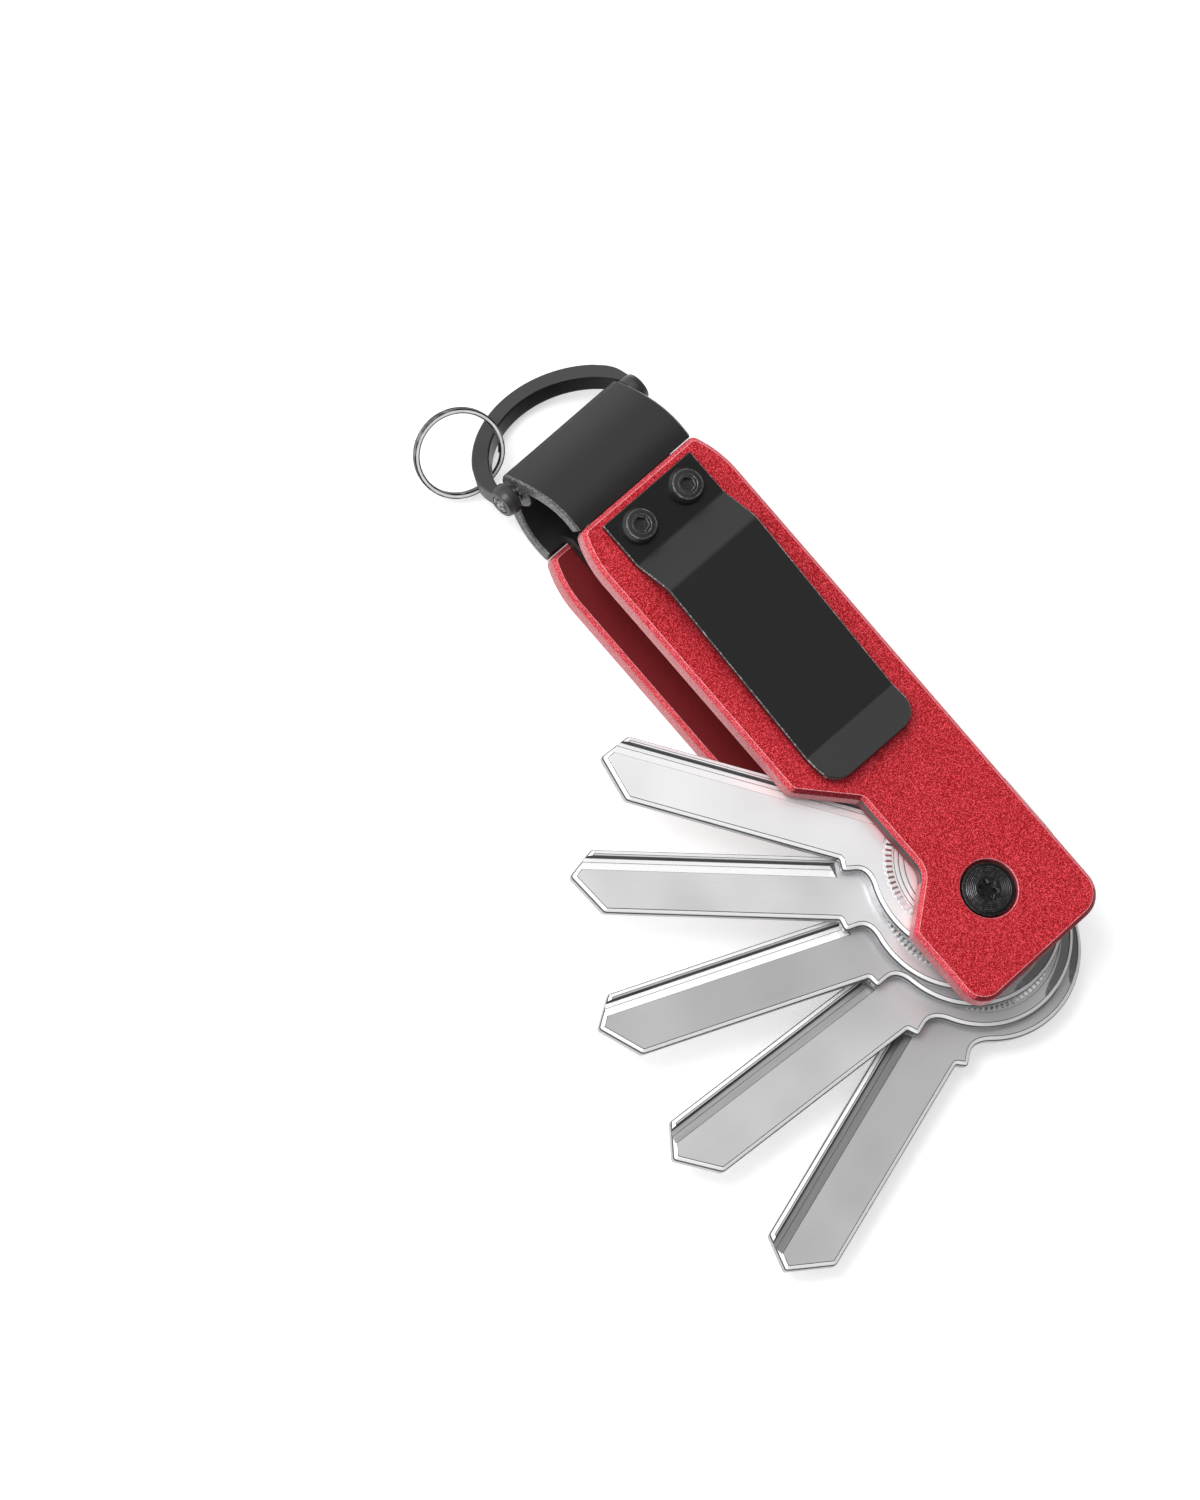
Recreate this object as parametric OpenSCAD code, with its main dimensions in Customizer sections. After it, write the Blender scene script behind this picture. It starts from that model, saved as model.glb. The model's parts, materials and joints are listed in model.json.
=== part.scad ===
// Pocket key organiser: two side plates with five keys fanning out between them on one pivot,
// a pocket clip on the front plate, and a strap bracket that carries a swinging D-ring.
// The plates lie flat: +Z is the front plate's outward side, +Y points to the strap end.
// The origin is the middle of the back plate's outer face. Millimetres.

/* [Plates] */
// Width of each side plate
plate_w = 23; // [22:0.5:26]
// From the pivot to the strap end of the plates
plate_above = 67.2; // [66:0.1:72]
// From the pivot to the free end of the plates
plate_below = 11.1; // [10.5:0.1:13]
// Thickness of each plate
plate_t = 3.3; // [3:0.1:4]
// Gap between the plates, which the keys fill
gap = 10.6; // [10:0.1:12]
// Chamfer round both faces of a plate
chamfer = 0.5; // [0.2:0.05:0.7]
// How deep the finger notch cuts into the left side
notch_depth = 6.5; // [4:0.1:6.5]

/* [Keys] */
// Length of the longest blade, from its shoulder to its tip
blade_l = 35.9; // [30:0.1:36]
// Diameter of a key's head
head_d = 25; // [24:0.1:26]
// From the middle of a key's head to the blade's shoulder
head_to_shoulder = 15.7; // [15:0.1:16.5]
// Depth of the shallow recess in each face of a head
head_recess = 0.12; // [0.05:0.01:0.15]

/* [Pivot] */
// Diameter of the barrel nut that the keys turn on
post_d = 5; // [4.5:0.1:5]
// Diameter of the pivot screw's head
pivot_head_d = 7; // [6.5:0.1:7.2]
// Diameter of the recess round each pivot head
pivot_recess_d = 7.65; // [7.5:0.05:8]
// Outside diameter of a shim washer
washer_d = 9; // [7:0.1:9]
// Thickness of a shim washer
washer_t = 0.36; // [0.3:0.01:0.4]

/* [Pocket clip] */
// Width of the clip
clip_w = 15.4; // [14:0.1:16]
// Thickness of the clip's spring steel
clip_t = 0.95; // [0.8:0.05:1.1]
// Rise of the clip at the end of its ramp
clip_rise = 2.7; // [2.2:0.1:3.5]
// Gap between the clip's tip and the plate
clip_pinch = 0.4; // [0.2:0.1:0.8]
// Diameter of the clip screws' heads
clip_head_d = 4.7; // [4.5:0.1:5]
// Distance between the two clip screws
screw_pitch = 8.2; // [8:0.1:9]

/* [Strap bracket and D-ring] */
// Half the width of the bracket
bracket_half = 9.9; // [9.5:0.1:10]
// Thickness of the bracket's legs
wall = 2; // [1.8:0.1:2.2]
// From the pivot to the D-ring's pin
pin_at = 76.4; // [76:0.1:77]
// Diameter of the pin
pin_d = 2.5; // [2:0.1:2.6]
// Half the width over the D-ring's eyes
ring_half = 12.3; // [12.2:0.1:12.6]
// Outside radius of the D-ring's bow
bow_r = 13.6; // [13.2:0.1:13.8]
// Width of the D-ring's flat band
band_w = 2.25; // [1.8:0.05:2.3]
// Thickness of the D-ring's flat band
band_t = 2.6; // [2:0.1:2.6]
// How far the D-ring hangs below level
ring_droop = 39; // [34:1:39]

/* [Split ring] */
// Outside diameter of the split ring
split_d = 11.8; // [11:0.1:12]
// Size of the ring's wire
split_wire = 0.7; // [0.6:0.05:0.8]

/* [Hidden] */
key_count = 5;
KEYS = [for (i = [1:key_count]) str("key_", i)];
WASHERS = [for (i = [0:key_count]) str("shim_washer_", i + 1)];
$fn = 64;
eps = 0.01;
hide = 5;                       // how far a cutting tool runs past the face it cuts

// Places
pivot_y = (plate_below - plate_above) / 2;
front_in = plate_t + gap;
top = front_in + plate_t;
mid = top / 2;
screw_y = 63;                   // the clip and rear screws, from the pivot

// Stack of keys and washers: every washer lies between the head recesses of its two neighbours
run_clear = 0.032;
key_gap = washer_t + 2 * run_clear - 2 * head_recess;
end_gap = washer_t + run_clear - head_recess;
key_t = (gap - 2 * end_gap - (key_count - 1) * key_gap) / key_count;
// Turn of each key from +Y towards -X, its blade's width, how far its blade's middle lies beside
// the pivot towards the cut edge, how far its shoulder lies ahead of the pivot, and how much
// shorter its blade is than the longest
key_turn = [35.4, 49.2, 68.9, 86.8, 106.9];
blade_w = [8.2, 8.1, 8.6, 9.1, 9.25];
blade_side = [-3.7, -0.8, 0.6, 3.15, 4.7];
shoulder_at = [18.7, 17.9, 16.4, 16.5, 17.7];
blade_less = [3.3, 1, 0, 0.5, 0.5];
slot_w = post_d + 0.1;

pin_clear = 0.05;
eye_w = 1.9;
eye_d = 4.2;
barrel_d = 5;
thread_d = 2.5;
screw_clear = 0.15;

function key_top(i) = front_in - end_gap - i * (key_t + key_gap);

// ---- Outline helpers ----
function unit(v) = v / norm(v);
function left(v) = [-v.y, v.x];

// Points of a round corner of radius r at b, between a and c
function corner(a, b, c, r, steps) =
    let (u = unit(a - b), w = unit(c - b), half = acos(u * w) / 2,
         o = b + unit(u + w) * r / sin(half),
         s = b + u * r / tan(half), e = b + w * r / tan(half),
         a0 = atan2(s.y - o.y, s.x - o.x),
         raw = atan2(e.y - o.y, e.x - o.x) - a0,
         sweep = raw > 180 ? raw - 360 : raw < -180 ? raw + 360 : raw)
    [for (i = [0:steps]) o + r * [cos(a0 + sweep * i / steps), sin(a0 + sweep * i / steps)]];

// An outline from [x, y, corner radius] rows; a radius of 0 keeps the corner sharp
function rounded(rows, steps = 8) =
    let (n = len(rows), at = [for (r = rows) [r.x, r.y]])
    [for (i = [0:n - 1])
        each rows[i][2] == 0 ? [at[i]]
            : corner(at[(i + n - 1) % n], at[i], at[(i + 1) % n], rows[i][2], steps)];

// A counter-clockwise outline moved inwards by d
function inset(p, d) =
    let (n = len(p))
    [for (i = [0:n - 1])
        let (u = left(unit(p[i] - p[(i + n - 1) % n])), w = left(unit(p[(i + 1) % n] - p[i])))
        p[i] + d * (u + w) / (1 + u * w)];

function raise(p, z) = [for (q = p) [q.x, q.y, z]];

// A cubic curve's points
function bezier(a, b, c, d, steps) =
    [for (i = [0:steps])
        let (t = i / steps, s = 1 - t)
        s * s * s * a + 3 * s * s * t * b + 3 * s * t * t * c + t * t * t * d];

// A solid through four rings of the outline, each given as [height, distance inwards]
module through_rings(outline, levels) {
    n = len(outline);
    polyhedron([for (l = levels) each raise(inset(outline, l[1]), l[0])], concat(
        [[for (i = [0:n - 1]) i]],
        [for (k = [0:len(levels) - 2], i = [0:n - 1])
            let (j = (i + 1) % n) [k * n + i, (k + 1) * n + i, (k + 1) * n + j, k * n + j]],
        [[for (i = [0:n - 1]) len(levels) * n - 1 - i]]), convexity = 6);
}

// A slab of thickness t with chamfered edges on both faces: flat faces and sides come from the
// extrusion, and the sloping envelope trims only its edges
module chamfered_slab(outline, t, c) {
    past = 0.05;
    out = 0.3;
    intersection() {
        linear_extrude(t) polygon(outline);
        through_rings(outline, [[-past, c + past], [c + out, -out],
                                [t - c - out, -out], [t + past, c + past]]);
    }
}

module at_pivot(z = 0) {
    translate([0, pivot_y, z]) children();
}

module at_screws(z = 0) {
    for (side = [-1, 1]) translate([side * screw_pitch / 2, pivot_y + screw_y, z]) children();
}

// Lays a shape drawn as [distance from the pivot along Y, height from the mid-plane] across X
module across(half_width) {
    translate([-half_width, pivot_y, mid]) rotate([90, 0, 90])
        linear_extrude(2 * half_width) children();
}

// ---- Side plates ----
plate_outline = rounded([
    [plate_w / 2, 0.5 - plate_below, 3.7],
    [plate_w / 2, plate_above - 3.9, 15],
    [plate_w / 2 - 1.6, plate_above, 1.2],
    [1.6 - plate_w / 2, plate_above, 1.2],
    [-plate_w / 2, plate_above - 3.9, 15],
    [-plate_w / 2, 25.3, 1.8],
    [notch_depth - plate_w / 2, 25.3 - notch_depth, 1.2],
    [notch_depth - plate_w / 2, 7, 3],
    [-plate_w / 2, 1.9, 1],
    [-plate_w / 2, -plate_below, 3.2],
]);

module front_plate() {
    color([0.76, 0.22, 0.26]) difference() {
        at_pivot(front_in) chamfered_slab(plate_outline, plate_t, chamfer);
        at_pivot(top - 1.7) cylinder(d = pivot_recess_d, h = hide);
        at_pivot(front_in - 1) cylinder(d = post_d + 0.1, h = hide);
        at_screws(front_in - 1) cylinder(d = thread_d + 2 * screw_clear, h = plate_t + 2);
    }
}

module back_plate() {
    color([0.76, 0.22, 0.26]) difference() {
        at_pivot() chamfered_slab(plate_outline, plate_t, chamfer);
        at_pivot(1.7 - hide) cylinder(d = pivot_recess_d, h = hide);
        at_pivot(-1) cylinder(d = post_d + 0.1, h = plate_t + 2);
        at_screws(-1) cylinder(d = thread_d + 2 * screw_clear, h = plate_t + 2);
        at_screws() cylinder(d1 = 5, d2 = thread_d + 2 * screw_clear, h = 1.4);
    }
}

// ---- Pocket clip ----
// Its lower face from the screws to the free tip: [distance from the pivot, height over the plate]
clip_line = [[65.9, 0], [59.2, 0], [54.4, clip_rise], [27.2, clip_pinch], [22.1, clip_pinch + 1.1]];

// The line moved up by the clip's thickness, square to each stretch
function lifted(p, d) =
    let (n = len(p) - 1)
    [for (i = [0:n])
        let (u = left(unit(p[max(i, 1)] - p[max(i, 1) - 1])) * -1,
             w = left(unit(p[min(i + 1, n)] - p[min(i + 1, n) - 1])) * -1)
        p[i] + d * (u + w) / (1 + u * w)];

module pocket_clip() {
    upper = lifted(clip_line, clip_t);
    color([0.16, 0.16, 0.17]) difference() {
        intersection() {
            translate([-clip_w / 2, pivot_y, top]) rotate([90, 0, 90]) linear_extrude(clip_w)
                polygon(concat(clip_line, [for (i = [len(upper) - 1:-1:0]) upper[i]]));
            translate([0, pivot_y, top - 1]) linear_extrude(9) polygon(rounded([
                [clip_w / 2, 21.6, 3.1],
                [clip_w / 2, 65.9, 0.2],
                [-clip_w / 2, 65.9, 0.2],
                [-clip_w / 2, 21.6, 3.1],
            ]));
        }
        at_screws(top - 1) cylinder(d = thread_d + 2 * screw_clear, h = hide);
    }
}

// Button heads with a hex socket, on shanks that reach into the spacer posts
module clip_screws() {
    dome_h = 1.4;
    dome_r = (pow(clip_head_d / 2, 2) + pow(dome_h, 2)) / (2 * dome_h);
    color([0.12, 0.12, 0.13]) at_screws(top + clip_t) difference() {
        union() {
            intersection() {
                translate([0, 0, dome_h - dome_r]) sphere(r = dome_r);
                cylinder(d = clip_head_d, h = dome_h + 1);
            }
            translate([0, 0, mid + 0.4 - top - clip_t])
                cylinder(d = thread_d, h = top + clip_t - mid - 0.4 + eps);
        }
        translate([0, 0, 0.5]) cylinder(d = 1.75, h = hide, $fn = 6);
    }
}

// Flush countersunk screws from the back, with a hex socket
module rear_screws() {
    color([0.12, 0.12, 0.13]) at_screws(0.05) difference() {
        union() {
            cylinder(d1 = 4.7, d2 = thread_d, h = 1.3);
            cylinder(d = thread_d, h = mid - 0.45);
        }
        translate([0, 0, 0.9 - hide]) cylinder(d = 1.75, h = hide, $fn = 6);
    }
}

// Threaded posts that stand between the bracket's two tongues
module spacer_posts() {
    half = gap / 2 - wall - 0.02;
    color([0.7, 0.7, 0.72]) at_screws(mid - half) difference() {
        cylinder(d = 4.4, h = 2 * half);
        translate([0, 0, -1]) cylinder(d = thread_d + 0.04, h = 2 * half + 2);
    }
}

// ---- Strap bracket ----
leg_foot = [plate_above + 0.1, 7.66];      // where a leg's outer face meets the plate's end
leg_knee = [75.4, 5.4];                    // where the leg runs straight on to the barrel
leg_curve = bezier(leg_foot, [70.6, 8.5], [73.2, 7.9], leg_knee, 14);
tongue_end = 58.5;
tongue_half = 7.2;

// The leg's inner face lies one wall inside its outer face
leg_inner = [for (i = [0:14])
    let (u = unit(leg_curve[min(i + 1, 14)] - leg_curve[max(i - 1, 0)]))
    leg_curve[i] - wall * left(u)];

// The straight run from the knee touches the barrel at this angle from the strap direction
knee_from_pin = leg_knee - [pin_at, 0];
touch = atan2(knee_from_pin.y, knee_from_pin.x) - acos(barrel_d / 2 / norm(knee_from_pin));
leg_touch = [pin_at, 0] + barrel_d / 2 * [cos(touch), sin(touch)];

module leg_profile() {
    polygon(concat(leg_curve, [leg_touch], [leg_touch - 0.8 * wall * left(unit(leg_touch - leg_knee))],
                   [for (i = [14:-1:0]) leg_inner[i]]));
}

// The tongue steps in from the leg's foot to pass between the plates
module tongue_profile() {
    y = gap / 2 - 0.02;
    polygon([[tongue_end, y], [leg_foot.x, y], [leg_foot.x, leg_foot.y - 0.3],
             [leg_foot.x + 1.2, leg_foot.y - 0.3], [leg_foot.x + 1.2, y - 0.4],
             [leg_foot.x, y - wall], [tongue_end, y - wall]]);
}

module loop_bracket() {
    color([0.25, 0.25, 0.26]) difference() {
        union() {
            across(bracket_half) leg_profile();
            across(bracket_half) mirror([0, 1]) leg_profile();
            across(tongue_half) tongue_profile();
            across(tongue_half) mirror([0, 1]) tongue_profile();
            across(bracket_half) translate([pin_at, 0]) circle(d = barrel_d);
        }
        across(bracket_half + 1) translate([pin_at, 0]) circle(d = pin_d + 2 * pin_clear);
        at_screws(0) cylinder(d = thread_d + 2 * screw_clear, h = top);
    }
}

// ---- Pivot ----
// Barrel nut pushed in from the back; its slotted head lies in the back plate's recess
module pivot_post() {
    color([0.13, 0.13, 0.14]) at_pivot() difference() {
        union() {
            translate([0, 0, 0.2]) cylinder(d = pivot_head_d, h = 1.5);
            translate([0, 0, 0.2]) cylinder(d = post_d, h = top - 1.8 - 0.2);
        }
        translate([0, 0, 6]) cylinder(d = 3.04, h = top);
        translate([-pivot_head_d, -0.5, -1]) cube([2 * pivot_head_d, 1, 1.7]);
    }
}

// Star-socket screw with its head just below the front plate's face
module pivot_screw() {
    color([0.1, 0.1, 0.11]) at_pivot(top - 1.7) difference() {
        union() {
            cylinder(d = pivot_head_d, h = 1.45);
            translate([0, 0, -8.5]) cylinder(d = 3, h = 8.6);
        }
        translate([0, 0, 0.35]) for (a = [0:60:300]) rotate(a) {
            translate([0.95, 0, 0]) cylinder(d = 0.85, h = hide);
            translate([0, -0.55, 0]) cube([0.95, 1.1, hide]);
        }
    }
}

module shim_washer(i) {
    z = i == 0 ? front_in - washer_t
        : i == key_count ? plate_t
        : key_top(i) + key_gap / 2 - washer_t / 2;
    color([0.6, 0.6, 0.62]) at_pivot(z) difference() {
        cylinder(d = washer_d, h = washer_t);
        translate([0, 0, -1]) cylinder(d = post_d + 0.06, h = washer_t + 2);
    }
}

// ---- Keys ----
// The blank's outline, as [along the blade, towards the cut edge]
function key_outline(half, shoulder, tip) = rounded([
    [3, half + 0.2, 0],
    [shoulder - 3.9, half + 0.2, 2],
    [shoulder - 0.7, half + 1.4, 0.4],
    [shoulder, half, 0.3],
    [tip - 4.3, half, 0.3],
    [tip, -0.5, 0.3],
    [tip - 2.9, -half, 0.3],
    [shoulder, -half, 0.3],
    [shoulder - 1.2, 1.2 - half, 0.3],
    [shoulder - 4.3, -half - 1.3, 0.6],
    [3, -half - 1.9, 0],
], 4);

module key_blank(half, side, shoulder, tip) {
    head_at = shoulder - head_to_shoulder;
    groove_depth = 0.45;
    difference() {
        union() {
            linear_extrude(key_t) polygon(key_outline(half, shoulder, tip));
            translate([head_at, 0, 0]) cylinder(d = head_d, h = key_t, $fn = 96);
        }
        // Milled groove along both faces of the blade, beside its back
        for (z = [-1, key_t - groove_depth])
            translate([shoulder - 1, 0.9 - half, z]) cube([tip, 1.85, 1 + groove_depth]);
        // Shallow round recess in both faces of the head
        for (z = [-1, key_t - head_recess])
            translate([head_at, 0, z]) cylinder(r = 10.2, h = 1 + head_recess, $fn = 96);
        // Slot from the middle of the head to the post
        for (y = [0, -side]) translate([0, y, -1]) cylinder(d = slot_w, h = key_t + 2);
        translate([-slot_w / 2, min(0, -side), -1]) cube([slot_w, abs(side), key_t + 2]);
    }
}

module key_at(i) {
    color([0.75, 0.76, 0.78]) at_pivot(key_top(i) - key_t)
        multmatrix([[-sin(key_turn[i]), -cos(key_turn[i]), 0, -cos(key_turn[i]) * blade_side[i]],
                    [cos(key_turn[i]), -sin(key_turn[i]), 0, -sin(key_turn[i]) * blade_side[i]],
                    [0, 0, 1, 0], [0, 0, 0, 1]])
            key_blank(blade_w[i] / 2, blade_side[i], shoulder_at[i],
                      shoulder_at[i] + blade_l - blade_less[i]);
}

// ---- D-ring, its pin and the split ring ----
module at_pin() {
    translate([0, pivot_y + pin_at, mid]) rotate([-ring_droop, 0, 0]) children();
}

bow_centre = -1.85;             // the bow's arc is centred behind the pin
ring_slid = -0.3;               // the ring and its pin rest slid along the barrel to the left
eye_taper = 0.8;                // the eyes' outer ends taper over this length
eye_end_d = 3.2;

// The bow is cut off flush with the eyes' ends
module bow() {
    translate([0, bow_centre, -band_t / 2]) intersection() {
        difference() {
            cylinder(r = bow_r, h = band_t, $fn = 128);
            translate([0, 0, -1]) cylinder(r = bow_r - band_w, h = band_t + 2, $fn = 128);
        }
        translate([-ring_half, -bow_centre, -1]) cube([2 * ring_half, bow_r, band_t + 2]);
    }
}

module eye() {
    straight = eye_w - eye_taper;
    translate([ring_half - eye_w, 0, 0]) rotate([0, 90, 0]) {
        cylinder(d = eye_d, h = straight);
        translate([0, 0, straight - eps]) cylinder(d1 = eye_d, d2 = eye_end_d, h = eye_taper + eps);
    }
}

module d_ring() {
    color([0.2, 0.2, 0.21]) at_pin() translate([ring_slid, 0, 0]) difference() {
        union() {
            bow();
            for (side = [0, 1]) mirror([side, 0, 0]) eye();
        }
        rotate([0, 90, 0]) translate([0, 0, -20]) cylinder(d = pin_d + 0.02, h = 40);
    }
}

// Pin fixed in the D-ring's eyes, with a peened end on each side; it turns in the barrel
module ring_pin() {
    length = 2 * (ring_half + 0.1);
    color([0.55, 0.55, 0.57]) at_pin() rotate([0, 90, 0])
        translate([0, 0, ring_slid - length / 2]) cylinder(d = pin_d, h = length);
}

// Two flat turns of wire side by side, hung on the D-ring's left limb
split_centre = [-10.5, 84.75, 4.2];    // from the pivot and the back plate's outer face
split_tilt = [22, -19, 0];
turn_h = 0.55;
module split_ring() {
    turns_h = 2 * turn_h;
    color([0.8, 0.8, 0.82])
        translate([split_centre.x, pivot_y + split_centre.y, split_centre.z]) rotate(split_tilt)
            translate([0, 0, -turns_h / 2]) difference() {
                cylinder(d = split_d, h = turns_h, $fn = 96);
                translate([0, 0, -1]) cylinder(d = split_d - 2 * split_wire, h = turns_h + 2, $fn = 96);
            }
}

front_plate();
back_plate();
pocket_clip();
clip_screws();
rear_screws();
spacer_posts();
loop_bracket();
pivot_post();
pivot_screw();
ring_pin();
d_ring();
split_ring();
for (i = [0:key_count - 1]) key_at(i);
for (i = [0:key_count]) shim_washer(i);
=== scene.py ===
"""Looks of a pocket key organiser: two red side plates, a black pocket clip, a strap bracket with a
D-ring and a split ring, and five bright key blanks that fan out between the plates."""

import json
import math
from collections import namedtuple
from functools import partial

import bmesh
import bpy
from bpy.props import FloatProperty, FloatVectorProperty, IntProperty, PointerProperty
from mathutils import Matrix, Vector


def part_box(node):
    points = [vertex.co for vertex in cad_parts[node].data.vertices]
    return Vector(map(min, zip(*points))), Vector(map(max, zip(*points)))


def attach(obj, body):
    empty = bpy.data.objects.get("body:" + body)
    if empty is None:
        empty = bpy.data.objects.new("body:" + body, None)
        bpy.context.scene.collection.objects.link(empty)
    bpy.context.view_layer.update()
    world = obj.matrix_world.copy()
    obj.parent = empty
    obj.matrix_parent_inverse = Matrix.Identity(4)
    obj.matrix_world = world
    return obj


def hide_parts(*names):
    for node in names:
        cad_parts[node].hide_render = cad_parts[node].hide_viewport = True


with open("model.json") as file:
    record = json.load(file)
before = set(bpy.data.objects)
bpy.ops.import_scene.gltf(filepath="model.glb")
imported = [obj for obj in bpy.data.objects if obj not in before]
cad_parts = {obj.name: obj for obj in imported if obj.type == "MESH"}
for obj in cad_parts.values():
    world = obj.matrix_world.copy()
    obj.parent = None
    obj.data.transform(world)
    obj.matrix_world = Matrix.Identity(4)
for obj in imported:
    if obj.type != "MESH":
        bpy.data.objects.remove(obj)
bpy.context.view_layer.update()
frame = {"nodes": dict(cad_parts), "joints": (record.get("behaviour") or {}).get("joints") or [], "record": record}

bl_info = {
    "name": "Key Organiser Looks",
    "version": (1, 0, 0),
    "blender": (4, 5, 0),
    "location": "View3D > Sidebar > Key Organiser",
    "description": "Builds the detailed pieces, finishes and studio of a pocket key organiser",
    "category": "Add Mesh",
}

MM = 0.001
# The finish slots that a new mesh gets, and the first of them
FINISHES = 6
PLAIN = 0
JOINTS = {joint["name"]: joint for joint in frame["joints"]}
PIVOT = Vector(JOINTS["key_1_turn"]["pos_m"]) / MM
PIN = Vector(JOINTS["d_ring_swing"]["pos_m"]) / MM
KEYS = sorted(n for n in frame["nodes"] if n.startswith("key_"))
WASHERS = sorted(n for n in frame["nodes"] if n.startswith("shim_washer_"))


# ---- Settings ---------------------------------------------------------------------------------


def length(name, description, default):
    """A length in metres, given here in millimetres."""
    return FloatProperty(name=name, description=description, default=default * MM,
                         precision=5, unit="LENGTH")


def lengths(name, description, defaults):
    """One length for each key, given here in millimetres."""
    return FloatVectorProperty(name=name, description=description, size=len(defaults),
                               default=[v * MM for v in defaults], precision=5, unit="LENGTH")


def angle(name, description, default):
    return FloatProperty(name=name, description=description, default=math.radians(default),
                         subtype="ANGLE")


def shares(name, description, defaults):
    """One share, from 0 to 1, for each key."""
    return FloatVectorProperty(name=name, description=description, size=len(defaults),
                               default=defaults, min=0, max=1)


def colour(name, description, default):
    return FloatVectorProperty(name=name, description=description, default=default, size=3,
                               min=0, max=1, subtype="COLOR")


class PlateSettings(bpy.types.PropertyGroup):
    chamfer: length("Chamfer", "Chamfer round both faces of a plate", 0.5)
    soft: length("Edge softness", "Radius that softens the edges of the chamfers", 0.1)
    notch: length("Notch depth", "How deep the finger notch cuts into the left side", 6.5)
    recess_d: length("Recess diameter", "Recess round each head of the pivot", 7.65)
    recess_depth: length("Recess depth", "Depth of the recess round a pivot head", 1.7)
    sink_d: length("Countersink", "Diameter of a countersink in the back plate", 5.0)
    red: colour("Red", "Anodised colour of the plates", (0.31, 0.002, 0.005))
    speck: colour("Speck", "Colour of the bright specks in the blasted face", (0.96, 0.09, 0.12))
    # Painted highlight: the chamfers are a lighter red than the faces, for the light they catch
    edge_highlight_red: colour("Edge red", "Lighter colour of the cut chamfers", (0.46, 0.018, 0.028))
    # Painted highlight: a fine pale line where each face meets its chamfer, and round the pivot recess's mouth
    highlight_line_red: colour("Line red", "Bright line where a face meets its chamfer", (0.85, 0.22, 0.26))
    # Painted shade: the faces towards the keys and the lower half of the notch wall are darkened for the shade
    # between the plates
    gap_shade_red: colour("Gap shade red", "Smooth colour of the faces towards the keys",
                      (0.17, 0.010, 0.013))
    # Painted shade: chamfers that face the pivot end are darker, as if turned away from the light
    shaded_edge_red: colour("Deep red", "Darker chamfers at the pivot end", (0.13, 0.005, 0.009))
    # Painted reflection: the straight side walls are a paler, greyer red for the white sheen they catch
    wall_sheen_red: colour("Wall sheen red", "Duller colour of the straight side walls", (0.40, 0.08, 0.09))
    shade: colour("Notch shade", "Dark band on the notch's wall", (0.012, 0.019, 0.017))


class ClipSettings(bpy.types.PropertyGroup):
    base: length("Base", "Flat stretch under the screws", 6.7)
    ramp: length("Ramp", "Stretch that rises off the plate", 4.8)
    rise: length("Rise", "Height of the ramp's end over the plate", 2.7)
    blade: length("Blade", "Long stretch that comes back to the plate", 27.2)
    pinch: length("Pinch", "Gap left where the blade meets the plate", 0.4)
    lip_rise: length("Lip rise", "How far the tip turns up", 1.1)
    thickness: length("Thickness", "Thickness of the spring steel", 0.95)
    bend: length("Bend radius", "Radius of each bend at the middle of the steel", 1.2)
    tip_corner: length("Tip corner", "Radius of the tip's two corners", 3.1)
    edge: length("Edge break", "Chamfer left along the steel's edges", 0.12)
    black: colour("Black", "Coated spring steel", (0.0055, 0.0055, 0.0057))


class ScrewSettings(bpy.types.PropertyGroup):
    head_d: length("Head diameter", "Diameter of a clip screw's button head", 4.7)
    head_h: length("Head height", "Height of the button head", 1.35)
    disc_d: length("Head disc", "Diameter of the flat disc on top of the button head", 4.0)
    thread_d: length("Thread", "Diameter of the clip and rear screws' shanks", 2.5)
    socket: length("Socket", "Across flats of the hex socket", 1.7)
    pivot_d: length("Pivot head", "Diameter of the pivot's heads", 7.0)
    turned: length("Turned rings", "Spacing of the rings turned in the pivot head", 0.24)
    star: length("Star socket", "Mean radius of the star socket", 1.12)
    lobe: length("Star lobe", "How far each lobe swings from the mean radius", 0.24)
    black: colour("Black oxide", "Finish of the screws", (0.012, 0.012, 0.0125))


class BracketSettings(bpy.types.PropertyGroup):
    wall: length("Wall", "Thickness of the bracket's legs", 2.0)
    barrel_d: length("Barrel", "Diameter of the barrel round the pin", 5.0)
    edge: length("Edge break", "Chamfer on the bracket's side edges", 0.25)
    tongue_w: length("Tongue width", "Width of the tongues between the plates", 14.4)
    grey: colour("Dark grey", "Satin coating of the bracket", (0.013, 0.013, 0.0133))


class RingSettings(bpy.types.PropertyGroup):
    droop: angle("Droop", "How far the D-ring hangs below level", 39)
    slid: length("Slid", "How far the ring has slid along its barrel", -0.3)
    bow_r: length("Bow radius", "Outside radius of the D-ring's bow", 13.6)
    bow_back: length("Bow centre", "How far the bow's centre lies behind the pin", 1.85)
    band_w: length("Band width", "Width of the D-ring's flat band", 2.25)
    band_t: length("Band thickness", "Thickness of the D-ring's band", 2.6)
    half: length("Half width", "Half the width over the D-ring's eyes", 12.3)
    eye_w: length("Eye width", "Length of the D-ring's eyes along the pin", 1.9)
    eye_d: length("Eye diameter", "Outside diameter of the eyes", 4.2)
    eye_end_d: length("Eye end", "Diameter to which an eye tapers at its outer end", 3.7)
    pin_d: length("Pin diameter", "Diameter of the cross pin", 2.5)
    wire: length("Wire", "Width of the split ring's wire", 0.7)
    turn: length("Turn", "Height of one turn of the split ring", 0.55)
    split_d: length("Split ring", "Outside diameter of the split ring", 11.8)
    jog: angle("Jog", "Where the split ring's wire crosses from turn to turn", -20)
    black: colour("Ring black", "Coating of the D-ring", (0.026, 0.026, 0.0265))
    steel: colour("Steel", "Bare steel of the pin, posts and washers", (0.42, 0.42, 0.43))
    bright: colour("Bright nickel", "Plating of the split ring", (0.80, 0.80, 0.81))


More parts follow.
